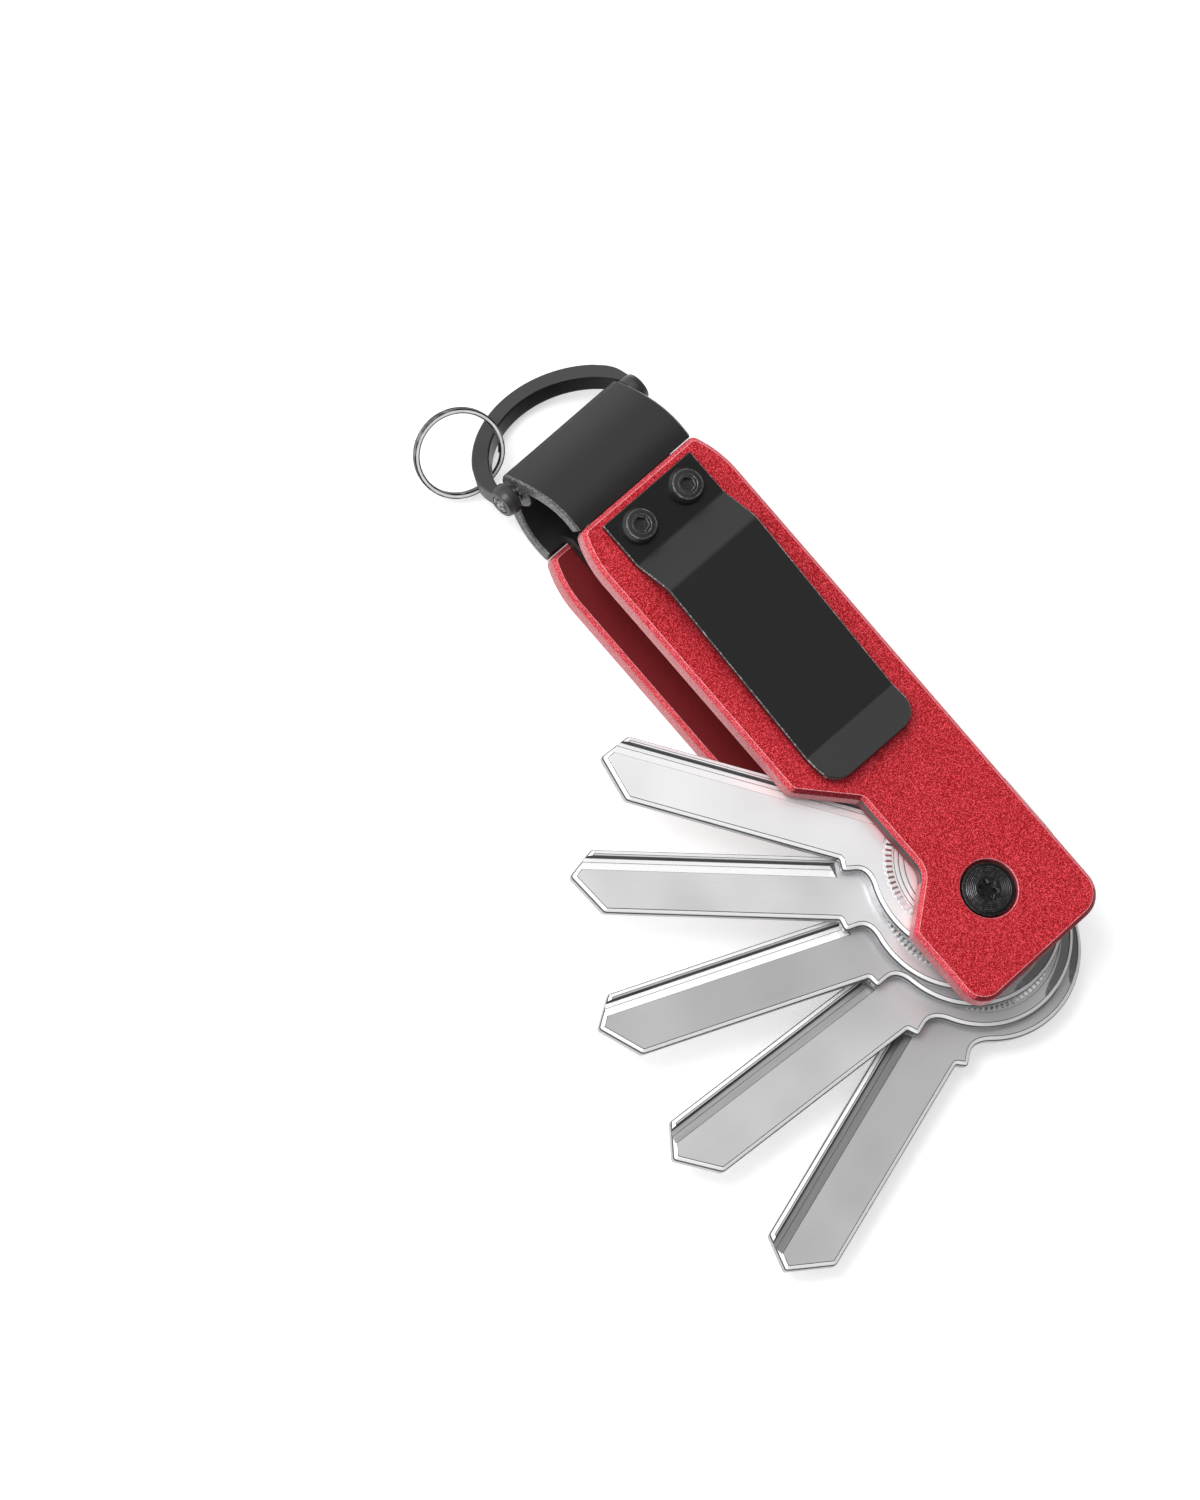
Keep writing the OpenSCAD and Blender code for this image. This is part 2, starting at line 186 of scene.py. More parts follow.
class KeySettings(bpy.types.PropertyGroup):
    head_d: length("Head diameter", "Diameter of a key's head", 25.0)
    to_shoulder: length("Head to shoulder", "From the head's middle to the shoulder", 15.7)
    recess_d: length("Head recess", "Diameter of the shallow recess in a head's faces", 21.4)
    reach: length("Head reach", "How far a head may reach to the right of the pivot", 12.95)
    ticks: IntProperty(name="Ticks", description="Serrations round each face of a head",
                       default=88, min=12)
    slot_w: length("Slot width", "Width of the slot that takes the post", 5.1)
    bevel: length("Bevel", "Bevel round both faces of a key", 0.52)
    groove: length("Groove depth", "Depth of the groove along the blade", 0.45)
    turns: FloatVectorProperty(name="Turns", description="Turn of each key from the strap end",
                               size=5, unit="ROTATION",
                               default=[math.radians(v) for v in (35.4, 49.2, 68.9, 86.8, 106.9)])
    widths: lengths("Blade widths", "Width of each key's blade", (8.2, 8.1, 8.6, 9.1, 9.25))
    sides: lengths("Blade offsets", "How far each blade's middle lies beside the pivot",
                   (-3.7, -0.8, 0.6, 3.15, 4.7))
    shoulders: lengths("Shoulders", "From the pivot to each blade's shoulder",
                       (18.7, 17.9, 16.4, 16.5, 17.7))
    tips: lengths("Tips", "From the pivot to each blade's tip", (51.3, 52.8, 52.3, 51.9, 53.1))
    run_ins: lengths("Groove starts", "Where each groove starts, from the shoulder",
                     (-3.5, 0.2, 0.2, 0.2, 0.2))
    nicks: lengths("Nicks", "Depth of the nick behind each shoulder, on the back",
                   (0.3, 1.2, 1.2, 1.2, 1.2))
    # Painted light and shade: each key's tone is set lighter or darker for the light and reflection it gets in the
    # stack
    light_and_shade_tones: shares("Tones", "Brightness of each key's plating", (0.98, 0.73, 0.52, 0.62, 0.515))
    # Painted light and shade: the groove slope is near white on the upper keys and dark on the two lowest, which
    # lie in shade
    groove_light_and_shade_tones: shares("Groove tones", "Brightness of the slope of each key's groove",
                         (0.97, 1.0, 1.0, 0.24, 0.12))


class StageSettings(bpy.types.PropertyGroup):
    tilt: angle("View tilt", "Lean of the view from straight above", 21)
    roll: angle("View roll", "Turn of the view about its own axis", 40.904569)
    aim_x: length("Aim X", "Aim point, to the left of the pivot", 27.3)
    aim_y: length("Aim Y", "Aim point, from the pivot to the strap end", 45.0)
    distance: length("Distance", "From the aim point to the camera", 5500.0)
    view_height: length("View height", "Height of the view at the aim point", 187.5)
    floor: colour("Floor", "Pale floor and backdrop", (0.80, 0.80, 0.80))


# ---- Outlines, in millimetres -----------------------------------------------------------------


def mm(settings, *names):
    """Settings' lengths in millimetres."""
    values = [getattr(settings, name) / MM for name in names]
    return values if len(values) > 1 else values[0]


def box_mm(name):
    low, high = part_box(name)
    return low / MM, high / MM


def pair(name):
    """Radius, middles across and place along Y of two like round parts that lie side by side."""
    low, high = box_mm(name)
    radius = (high.y - low.y) / 2
    return radius, (low.x + radius, high.x - radius), (low.y + high.y) / 2


def polar(way, radius=1.0):
    return Vector((radius * math.cos(way), radius * math.sin(way)))


def corner(a, b, c, radius, steps):
    """Points of a round corner at b, between a and c."""
    u, w = (a - b).normalized(), (c - b).normalized()
    half = u.angle(w) / 2
    middle = b + (u + w).normalized() * radius / math.sin(half)
    start = b + u * radius / math.tan(half)
    end = b + w * radius / math.tan(half)
    from_angle = math.atan2(start.y - middle.y, start.x - middle.x)
    sweep = math.atan2(end.y - middle.y, end.x - middle.x) - from_angle
    sweep = (sweep + math.pi) % (2 * math.pi) - math.pi
    return [middle + radius * polar(from_angle + sweep * i / steps) for i in range(steps + 1)]


def rounded(rows, steps=10, closed=True):
    """An outline from (x, y, corner radius) rows; radius 0 keeps a corner sharp."""
    at = [Vector(row[:2]) for row in rows]
    points = []
    for i, row in enumerate(rows):
        inner = closed or 0 < i < len(rows) - 1
        if row[2] and inner:
            points += corner(at[i - 1], at[i], at[(i + 1) % len(at)], row[2], steps)
        else:
            points.append(at[i])
    return points


def inset(points, distance):
    """A counter-clockwise outline moved inwards."""
    moved = []
    for i, here in enumerate(points):
        u = (here - points[i - 1]).normalized().orthogonal()
        w = (points[(i + 1) % len(points)] - here).normalized().orthogonal()
        u, w = Vector((u.x, u.y)), Vector((w.x, w.y))
        moved.append(here + distance * (u + w) / (1 + u.dot(w)))
    return moved


def arc(centre, radius, start, end, steps):
    """Points of an arc, with its angles in degrees."""
    ways = [math.radians(start + (end - start) * i / steps) for i in range(steps + 1)]
    return [centre + radius * polar(way) for way in ways]


def bezier(a, b, c, d, steps):
    points = []
    for i in range(steps + 1):
        t = i / steps
        s = 1 - t
        points.append(s**3 * a + 3 * s * s * t * b + 3 * s * t * t * c + t**3 * d)
    return points


def edge_levels(low, high, chamfer, soft):
    """Levels (height, distance inwards) of a slab's side with softened chamfers."""
    rows = [(chamfer + 1, low, 0), (chamfer, low, soft), (0, low + chamfer, soft),
            (0, high - chamfer, soft), (chamfer, high, soft), (chamfer + 1, high, 0)]
    return [(p.y, p.x) for p in rounded(rows, 3, closed=False)[1:-1]]


def round_levels(low, high, low_radius, high_radius, steps=4):
    """Levels of a slab's side with a round edge below and above."""
    rows = [(low_radius * 2, low, 0), (0, low, low_radius),
            (0, high, high_radius), (high_radius * 2, high, 0)]
    return [(p.y, p.x) for p in rounded(rows, steps, closed=False)[1:-1]]


# ---- Solids -----------------------------------------------------------------------------------


def as_object(name, mesh, work):
    """Writes a bmesh into a mesh with a slot for each finish, and gives it an object."""
    work.to_mesh(mesh)
    work.free()
    for _ in range(FINISHES):
        mesh.materials.append(None)
    piece = bpy.data.objects.new(name, mesh)
    bpy.context.scene.collection.objects.link(piece)
    return piece


def solid(name, points, faces, place=None, marks=None):
    """A mesh object from points in millimetres, put in place by a matrix, also in millimetres;
    marks are the faces' finishes, by number."""
    place = place or Matrix.Identity(4)
    mesh = bpy.data.meshes.new(name)
    mesh.from_pydata([(place @ Vector(p)) * MM for p in points], [], faces)
    if marks:
        mesh.polygons.foreach_set("material_index", marks)
    work = bmesh.new()
    work.from_mesh(mesh)
    bmesh.ops.remove_doubles(work, verts=work.verts, dist=1e-7)
    bmesh.ops.recalc_face_normals(work, faces=work.faces)
    return as_object(name, mesh, work)


def gather(name, pieces):
    """Puts several solids into one object."""
    work = bmesh.new()
    for piece in pieces:
        work.from_mesh(piece.data)
        bpy.data.objects.remove(piece)
    return as_object(name, bpy.data.meshes.new(name), work)


def stack(rings, closed=False):
    """Points and faces of a skin through rings of equally many points. The rings make a tube that
    closes on itself, or two flat ends close it."""
    count = len(rings[0])
    points = [tuple(p) for ring in rings for p in ring]
    faces = []
    for k in range(len(rings) if closed else len(rings) - 1):
        here, above = k * count, (k + 1) % len(rings) * count
        for i in range(count):
            j = (i + 1) % count
            faces.append((here + i, here + j, above + j, above + i))
    if not closed:
        faces.append(tuple(reversed(range(count))))
        faces.append(tuple(range(len(points) - count, len(points))))
    return points, faces


def skin(name, rings, rows, place):
    """A solid through rings. Each ring has a row, and a row's third number, if it has one, is the
    finish of the band that follows."""
    marks = [row[2] if len(row) > 2 else PLAIN for row in rows[:-1] for _ in rings[0]]
    return solid(name, *stack(rings), place, marks + [PLAIN, PLAIN])


def slab(name, outline, levels, place=None):
    """A solid that follows a flat outline, with its sides shaped by levels of height, distance
    inwards and, if wanted, finish. The outline is a list of points, or a function that gives it
    for a distance inwards."""
    shape = outline if callable(outline) else partial(inset, outline)
    rings = [[(p.x, p.y, level[0]) for p in shape(level[1])] for level in levels]
    return skin(name, rings, levels, place)


def lathe(name, profile, place=None, steps=96):
    """A solid turned about Z from rows of radius, height and, if wanted, finish, which start and
    end on the axis."""
    ways = [2 * math.pi * i / steps for i in range(steps)]
    rings = [[(*polar(way, max(radius, 1e-5)), z) for way in ways] for radius, z, *_ in profile]
    return skin(name, rings, profile, place)


def soft_profile(rows, steps=3):
    """A turned profile from (radius, height, corner radius) rows."""
    return [(p.x, p.y) for p in rounded(rows, steps, closed=False)]


def evaluated(piece):
    """Bakes a piece's modifiers into its mesh."""
    graph = bpy.context.evaluated_depsgraph_get()
    mesh = bpy.data.meshes.new_from_object(piece.evaluated_get(graph))
    piece.modifiers.clear()
    old, piece.data = piece.data, mesh
    bpy.data.meshes.remove(old)


def combine(piece, others, operation="DIFFERENCE"):
    """Cuts the others out of a piece, or joins them to it, and removes them."""
    for other in others:
        step = piece.modifiers.new(operation.lower(), "BOOLEAN")
        step.operation = operation
        step.solver = "EXACT"
        step.object = other
    evaluated(piece)
    for other in others:
        bpy.data.objects.remove(other)
    return piece


def shift(x=0, y=0, z=0):
    return Matrix.Translation((x, y, z))


def turn(degrees, axis):
    return Matrix.Rotation(math.radians(degrees), 4, axis)


ALONG_X = turn(90, "Y")
# Lays a flat outline drawn as (distance along Y, height) across X
ACROSS = Matrix(((0, 0, 1, 0), (1, 0, 0, 0), (0, 1, 0, 0), (0, 0, 0, 1)))


def bore(radius, place):
    """A long round cutter across its place."""
    return lathe("bore", [(0, -20), (radius, -20), (radius, 20), (0, 20)], place @ ALONG_X,
                 steps=48)


def finish_piece(piece, name, body, nodes, materials, pick=None, sharp=30):
    """Gives a piece its finishes, smooths it up to its sharp edges and hands it to its body."""
    last = len(materials) - 1
    finishes = [pick(face) if pick else face.material_index for face in piece.data.polygons]
    piece.data.materials.clear()
    for material in materials:
        piece.data.materials.append(material)
    piece.data.polygons.foreach_set("material_index", [min(f, last) for f in finishes])
    piece.data.shade_smooth()
    piece.data.set_sharp_from_angle(angle=math.radians(sharp))
    piece.modifiers.new("flat faces", "WEIGHTED_NORMAL").keep_sharp = True
    evaluated(piece)
    piece.name = piece.data.name = name
    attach(piece, body)
    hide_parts(*nodes)
    return piece


# ---- Finishes ---------------------------------------------------------------------------------

WHITE = (1, 1, 1, 1)
GREY = (0.5, 0.5, 0.5, 1)
SURFACE = {"Color": GREY, "Speck": GREY}

Metal = namedtuple(
    "Metal", "roughness metallic grain amount relief specular smudge coat coat_roughness cloud",
    defaults=(0.5, 0.15, 0.0, 0.3, 0.0))

# The rolled metals, which are the nickel of the keys, have lines in place of grain
METALS = {
    "Anodised red": Metal(0.45, 0.35, 9500, 1.0, 0.6, 0.2),
    "Red edge highlight": Metal(0.4, 0.4, 9000, 0.9, 0.4, 0.3),
    "Highlight line": Metal(0.35, 0.4, 5000, 0.6, 0.2),
    "Notch shade": Metal(0.5, 0.3, 4000, 0.5, 0.2, coat=0.2),
    "Gap shade red": Metal(0.5, 0.2, 5000, 0.4, 0.1, 0.3),
    "Wall sheen red": Metal(0.4, 0.3, 6500, 0.6, 0.4, coat=0.1),
    "Shaded red edge": Metal(0.45, 0.3, 6500, 0.25, 0.3, 0.25),
    "Coated spring steel": Metal(0.36, 0.0, 6000, 0.4, 0.1, smudge=0.05),
    "Clip edge highlight": Metal(0.35, 0.4, 2500, 0.8, 0.1),
    "Clip base shade": Metal(0.36, 0.0, 6000, 0.4, 0.1, 0.3, 0.05),
    "Black oxide": Metal(0.3, 0.1, 5000, 0.5, 0.1),
    "Screw edge glint": Metal(0.25, 0.3, 3000, 0.7, 0.05),
    "Socket wall highlight": Metal(0.3, 0.4, 2500, 0.8, 0.1),
    "Turned black oxide": Metal(0.26, 0.0, 5000, 0.4, 0.05, 0.2),
    "Turned ring": Metal(0.25, 0.3, 2500, 0.7, 0.05, 0.3),
    "Star wall shade": Metal(0.2, 0.6, 1200, 0.9, 0.1),
    "Turned steel": Metal(0.32, 1.0, 3000, 0.3, 0.08),
    "Satin dark coating": Metal(0.42, 0.0, 7000, 0.35, 0.06, 0.32),
    "Bracket edge highlight": Metal(0.4, 0.3, 3500, 0.8, 0.1),
    "Ring coating": Metal(0.4, 0.1, 6000, 0.35, 0.08, coat=0.05, coat_roughness=0.2),
    "Ring inside shade": Metal(0.3, 0.1, 6000, 0.3, 0.08, 0.2),
    "Pin steel": Metal(0.28, 0.7, 1500, 0.8, 0.3),
    "Bright nickel": Metal(0.15, 0.3, 900, 0.4, 0.03, smudge=0.1),
    "Nickel in shade": Metal(0.2, 0.5, 500, 0.2, 0.03, smudge=0.1),
    "Nickel": Metal(0.32, 0.45, None, 0.25, 0.03, smudge=0.12, cloud=0.75),
    "Nickel bevel highlight": Metal(0.25, 0.25, None, 0.5, 0.02),
    "Nickel wall shade": Metal(0.4, 0.4, None, 0.5, 0.05, 0.3),
    "Nickel rim shade": Metal(0.2, 0.9, None, 0.4, 0.03),
    "Nickel slope": Metal(0.28, 0.25, None, 0.5, 0.05),
    "Nickel side shade": Metal(0.3, 0.9, None, 0.5, 0.05),
}


def feed(tree, made, inputs):
    """Sets a node's inputs to plain values or links them to sockets."""
    for key, value in inputs.items():
        if isinstance(value, bpy.types.NodeSocket):
            tree.links.new(value, made.inputs[key])
        else:
            made.inputs[key].default_value = value


def node(tree, kind, inputs=None, **settings):
    made = tree.nodes.new("ShaderNode" + kind)
    for key, value in settings.items():
        setattr(made, key, value)
    feed(tree, made, inputs or {})
    return made


def maths(tree, operation, *values):
    return node(tree, "Math", dict(enumerate(values)), operation=operation).outputs[0]


def noise(tree, vector, scale, detail=2.0):
    inputs = {"Vector": vector, "Scale": scale, "Detail": detail}
    return node(tree, "TexNoise", inputs).outputs["Fac"]


def spread(tree, value, low, high):
    """Stretches the values between low and high to the whole range from 0 to 1."""
    inputs = {"Value": value, "From Min": low, "From Max": high}
    return node(tree, "MapRange", inputs).outputs["Result"]


def speckled(tree, amount, given):
    inputs = {"Factor": amount, "A": given["Color"], "B": given["Speck"]}
    return node(tree, "Mix", inputs, data_type="RGBA").outputs["Result"]


def shader_group(name, inputs, build):
    """A node group with named sockets, made once. The build function takes its tree and its
    inputs, and gives a socket for each of its outputs."""
    if name in bpy.data.node_groups:
        return bpy.data.node_groups[name]
    tree = bpy.data.node_groups.new(name, "ShaderNodeTree")
    for label, default in inputs.items():
        kind = "NodeSocketColor" if isinstance(default, tuple) else "NodeSocketFloat"
        tree.interface.new_socket(label, in_out="INPUT", socket_type=kind).default_value = default
    results = build(tree, tree.nodes.new("NodeGroupInput").outputs)
    for label, socket in results.items():
        kind = "NodeSocketColor" if socket.type == "RGBA" else "NodeSocketFloat"
        tree.interface.new_socket(label, in_out="OUTPUT", socket_type=kind)
    feed(tree, tree.nodes.new("NodeGroupOutput"), results)
    return tree


def blasted_grain(tree, given):
    """Blasted surface: bright specks of one colour on another, and their height."""
    place = node(tree, "TexCoord").outputs["Object"]
    fine = noise(tree, place, given["Grain"])
    coarse = noise(tree, place, maths(tree, "MULTIPLY", given["Grain"], 0.35))
    both = maths(tree, "MULTIPLY_ADD", coarse, 0.15, maths(tree, "MULTIPLY", fine, 0.85))
    amount = maths(tree, "MULTIPLY", spread(tree, both, 0.49, 0.59), given["Amount"])
    return {"Color": speckled(tree, amount, given), "Height": fine}


def rolled_lines(tree, given):
    """Fine lines left by rolling or brushing, turned to lie along a blade."""
    place = node(tree, "TexCoord").outputs["Object"]
    turned = node(tree, "VectorRotate", {"Vector": place, "Angle": given["Turn"]},
                  rotation_type="Z_AXIS").outputs["Vector"]
    stretched = node(tree, "VectorMath", {0: turned, 1: (6000, 160, 900)}, operation="MULTIPLY")
    lines = noise(tree, stretched.outputs["Vector"], 1.0, 3.0)
    clouds = maths(tree, "MULTIPLY", spread(tree, noise(tree, turned, 75.0, 1.0), 0.3, 0.7),
                   given["Cloud"])
    amount = maths(tree, "MULTIPLY_ADD", lines, given["Amount"], clouds)
    return {"Color": speckled(tree, amount, given), "Height": lines}


def handled_sheen(tree, given):
    """Roughness with the faint smudges that handling leaves."""
    place = node(tree, "TexCoord").outputs["Object"]
    centred = maths(tree, "SUBTRACT", noise(tree, place, 170.0, 4.0), 0.5)
    return {"Roughness": maths(tree, "MULTIPLY_ADD", centred, given["Spread"],
                               given["Roughness"])}


def new_material(name):
    """A material, its node tree and its shader."""
    material = bpy.data.materials.new(name)
    material.use_nodes = True
    return material, material.node_tree, material.node_tree.nodes["Principled BSDF"]


def metal(kind, base, speck, lines=None, number=""):
    """A coated, blasted or rolled metal; lines is the turn of its rolling lines, if it has any."""
    look = METALS[kind]
    material, tree, shader = new_material(kind + number)
    inputs = {"Color": (*base, 1), "Speck": (*speck, 1), "Amount": look.amount}
    if lines is None:
        inputs["Grain"] = look.grain
        surface = shader_group("Blasted grain", {**SURFACE, "Grain": 4000.0, "Amount": 0.5},
                               blasted_grain)
    else:
        inputs.update(Turn=lines, Cloud=look.cloud)
        surface = shader_group("Rolled lines", {**SURFACE, "Turn": 0.0, "Amount": 0.1,
                                                "Cloud": 0.0}, rolled_lines)
    surface = node(tree, "Group", inputs, node_tree=surface).outputs
    sheen = shader_group("Handled sheen", {"Roughness": 0.4, "Spread": 0.1}, handled_sheen)
    sheen = node(tree, "Group", {"Roughness": look.roughness, "Spread": look.smudge},
                 node_tree=sheen).outputs
    bump = node(tree, "Bump", {"Strength": look.relief, "Distance": 0.05 * MM,
                               "Height": surface["Height"]}).outputs
    feed(tree, shader, {
        "Base Color": surface["Color"], "Roughness": sheen["Roughness"],
        "Normal": bump["Normal"], "Metallic": look.metallic, "Coat Weight": look.coat,
        "Coat Roughness": look.coat_roughness, "Specular IOR Level": look.specular})
    return material


def scaled(tone, factor):
    return tuple(min(1.0, v * factor) for v in tone)


def shades(tone, *rows):
    """Metals in shades of one tone, from rows of (kind, brightness, brightness of the specks)."""
    return [metal(kind, scaled(tone, base), scaled(tone, speck)) for kind, base, speck in rows]


# ---- Side plates ------------------------------------------------------------------------------

EDGE, HIGHLIGHT_LINE, SHADE, GAP_SHADE, WALL, SHADED_EDGE = range(1, 7)
# Bounds on a face's normal: a face that lies level, and a chamfer towards the pivot's end, which gets painted
# shade
LEVEL = 0.96
PIVOT_END = -0.35


def plate_outline(low, high, notch):
    """The plates' outline: tapered corners at the strap end and a finger notch on the left."""
    notch_x, notch_end = low.x + notch, PIVOT.y + 25.3
    taper = 3.9
    return rounded([
        (high.x, low.y + 0.5, 3.7),
        (high.x, high.y - taper, 15),
        (high.x - 1.6, high.y, 1.2),
        (low.x + 1.6, high.y, 1.2),
        (low.x, high.y - taper, 15),
        (low.x, notch_end, 1.8),
        (notch_x, notch_end - notch, 1.2),
        (notch_x, PIVOT.y + 7, 3),
        (low.x, PIVOT.y + 1.9, 1),
        (low.x, low.y, 3.2),
    ], steps=12)


def plate_levels(low, high, chamfer, soft):
    """Levels of a plate's side, with a fine painted highlight line where each face meets its chamfer."""
    rise, line = 0.015, chamfer + 0.08
    return [(low, line, HIGHLIGHT_LINE), (low + rise, chamfer, EDGE), (low + chamfer - soft, soft, EDGE),
            (low + chamfer + soft, 0), ((low + high) / 2, 0), (high - chamfer - soft, 0, EDGE),
            (high - chamfer + soft, soft, EDGE), (high - rise, chamfer, HIGHLIGHT_LINE), (high, line)]


def recess_cutter(settings, mouth, up):
    """The round recess that one of the pivot's heads lies in."""
    radius, depth = mm(settings, "recess_d", "recess_depth")
    radius /= 2
    place = shift(PIVOT.x, PIVOT.y, mouth) @ turn(0 if up else 180, "X")
    # The recess's mouth gets the painted highlight line
    return lathe("recess", [(0, -depth), (radius, -depth), (radius, -0.08, HIGHLIGHT_LINE),
                            (radius + 0.09, 0.01), (radius + 0.2, 0.5), (0, 0.5)], place)


def sink_cutter(settings, x, y, z):
    """A countersunk hole from the back."""
    outer, hole = mm(settings, "sink_d") / 2, 1.4
    return lathe("sink", [(0, -0.5), (outer + 0.5, -0.5), (hole, hole), (hole, 5), (0, 5)],
                 shift(x, y, z), steps=48)


class ORGANISER_OT_side_plates(bpy.types.Operator):
    """Build the two red side plates with their chamfers, finger notch and pivot recess"""

    bl_idname = "organiser.side_plates"
    bl_label = "Side plates"

    def execute(self, context):
        settings = context.scene.organiser_plates
        chamfer, soft, notch = mm(settings, "chamfer", "soft", "notch")
        finishes = [metal("Anodised red", settings.red, settings.speck),
                    metal("Red edge highlight", settings.edge_highlight_red, (0.95, 0.2, 0.24)),
                    metal("Highlight line", settings.highlight_line_red, (1.0, 0.7, 0.72)),
                    *shades(settings.shade, ("Notch shade", 1, 1.6)),
                    *shades(settings.gap_shade_red, ("Gap shade red", 1, 1.4)),
                    metal("Wall sheen red", settings.wall_sheen_red, (0.8, 0.3, 0.33)),
                    metal("Shaded red edge", settings.shaded_edge_red, settings.speck)]
        for name in ("front_plate", "back_plate"):
            up = name == "front_plate"
            low, high = box_mm(name)
            outline = plate_outline(low, high, notch)
            piece = slab(name, outline, plate_levels(low.z, high.z, chamfer, soft))
            cutters = [recess_cutter(settings, high.z if up else low.z, up)]
            if not up:
                _, (_, x), y = pair("rear_screws")
                cutters += [sink_cutter(settings, side * x, y, low.z) for side in (-1, 1)]
            combine(piece, cutters)
            notch_x, reach = low.x + notch, 1.2
            notch_low, notch_high = PIVOT.y + 6.0, PIVOT.y + 18.9

            def pick(face):
                at, mark = face.center / MM, face.material_index
                if mark:
                    return SHADED_EDGE if mark == EDGE and face.normal.y < PIVOT_END else mark
                # Painted shade: faces towards the keys and the lower half of the notch wall get the darker gap
                # red, and the notch wall's upper half gets a dark band of painted shade
                if abs(face.normal.z) > LEVEL:
                    return GAP_SHADE if (face.normal.z < 0) == up else PLAIN
                if abs(at.x - notch_x) < reach and notch_low < at.y < notch_high:
                    return SHADE if at.z > (low.z + high.z) / 2 else GAP_SHADE
                # Side walls get the paler red of painted reflection
                return WALL

            finish_piece(piece, name + "_shell", "frame", [name], finishes, pick)
        return {"FINISHED"}


# ---- Pocket clip ------------------------------------------------------------------------------

# Clip finish marks: a painted highlight on the outer edges, and painted shade on the top of the foot
CLIP_EDGE_GLINT, BASE_SHADE = 1, 2


def stations(line, lead_in, lead_out):
    """Points, directions and distances along a line, with extra stops near its two ends."""
    far = [0.0]
    for a, b in zip(line, line[1:]):
        far.append(far[-1] + (b - a).length)
    found = []
    for stop in sorted({*far, *lead_in, *(far[-1] - d for d in lead_out)}):
        k = max(i for i in range(len(far) - 1) if far[i] <= stop + 1e-9)
        stretch = line[k + 1] - line[k]
        at = line[k] + stretch * (stop - far[k]) / (far[k + 1] - far[k])
        way = stretch.normalized()
        if abs(stop - far[k]) < 1e-6 and k:
            way = (way + (line[k] - line[k - 1]).normalized()).normalized()
        found.append((at, way, stop, far[-1] - stop))
    return found


def clip_solid(settings, low, high):
    """The bent spring steel, swept along its middle line with rounded corners at the tip."""
    base, ramp, rise, blade, pinch, lip_rise, thick, bend, tip_corner, edge = mm(
        settings, "base", "ramp", "rise", "blade", "pinch", "lip_rise", "thickness", "bend",
        "tip_corner", "edge")
    half, mid, start = (high.x - low.x) / 2, thick / 2, high.y
    middle = rounded([
        (start, mid, 0), (start - base, mid, bend), (start - base - ramp, rise + mid, bend),
        (start - base - ramp - blade, pinch + mid, bend),
        (low.y + 0.05, pinch + lip_rise + mid, 0)], closed=False)
    round_stops = [tip_corner * (1 - math.sin(math.radians(a))) for a in range(0, 90, 9)]
    rings = []
    for at, way, since, left in stations(middle, [edge], round_stops + [edge]):
        width = half
        if left < tip_corner:
            width -= tip_corner - math.sqrt(tip_corner**2 - (tip_corner - left) ** 2)
        slim = edge if min(since, left) < 1e-6 else 0
        up = Vector((way.y, -way.x))
        if up.y < 0:
            up.negate()
        w, t = width - slim, thick / 2 - slim
        section = [(-w + edge, -t), (w - edge, -t), (w, -t + edge), (w, t - edge),
                   (w - edge, t), (-w + edge, t), (-w, t - edge), (-w, -t + edge)]
        rings.append([(x, at.x + up.x * h, low.z + at.y + up.y * h) for x, h in section])
    return solid("clip", *stack(rings))


class ORGANISER_OT_pocket_clip(bpy.types.Operator):
    """Build the black spring-steel pocket clip"""

    bl_idname = "organiser.pocket_clip"
    bl_label = "Pocket clip"

    def execute(self, context):
        settings = context.scene.organiser_clip
        low, high = box_mm("pocket_clip")
        finishes = [*shades(settings.black, ("Coated spring steel", 1, 1.7)),
                    metal("Clip edge highlight", (0.07, 0.07, 0.072), (0.4, 0.4, 0.41)),
                    *shades(settings.black, ("Clip base shade", 0.6, 1))]
        width = (high.x - low.x) / 2
        foot = high.y - settings.base / MM - 0.4

        def pick(face):
            at = face.center / MM
            slanted = 0.3 < abs(face.normal.x) < 0.95
            outermost = abs(abs(at.x) - width) < 0.3
            on_top = face.normal.z > 0.9
            # Painted highlight: the chamfers along the clip's two outer edges get a lighter grey
            if slanted and outermost:
                return CLIP_EDGE_GLINT
            # Painted shade: the top of the flat foot under the screws is darker
            return BASE_SHADE if at.y > foot and on_top else PLAIN

        finish_piece(clip_solid(settings, low, high), "pocket_clip_steel", "frame",
                     ["pocket_clip"], finishes, pick, sharp=24)
        return {"FINISHED"}


# ---- Screws and pivot -------------------------------------------------------------------------

# Screw finish marks: painted glints on fine edges, ring slopes and socket lead-ins, and the socket walls
GLINT, SOCKET = 1, 2
SOCKET_DEPTH = 0.9


def hexagon(across_flats):
    return [polar(math.radians(60 * i), across_flats / math.sqrt(3)) for i in range(6)]


def star_outline(mean, lobe, steps=96):
    """Six round lobes."""
    ways = [2 * math.pi * i / steps for i in range(steps)]
    return [polar(way, mean + lobe * math.cos(6 * way)) for way in ways]


def socket_cutter(outline, top, depth, place):
    """A socket with a small lead-in at its mouth, which gets a painted glint."""
    return slab("socket", outline, [(top - depth, 0, SOCKET), (top - 0.09, 0, GLINT),
                                    (top + 0.02, -0.11), (top + 0.5, -0.11)], place)


def groove_rings(radii, top, width, depth):
    """Profile points, from the outside in, that cut fine rings into a flat top, with a painted glint on one slope
    of each ring.
    """
    points = []
    for radius in sorted(radii, reverse=True):
        points += [(radius + width, top), (radius, top - depth, GLINT), (radius - width, top)]
    return points


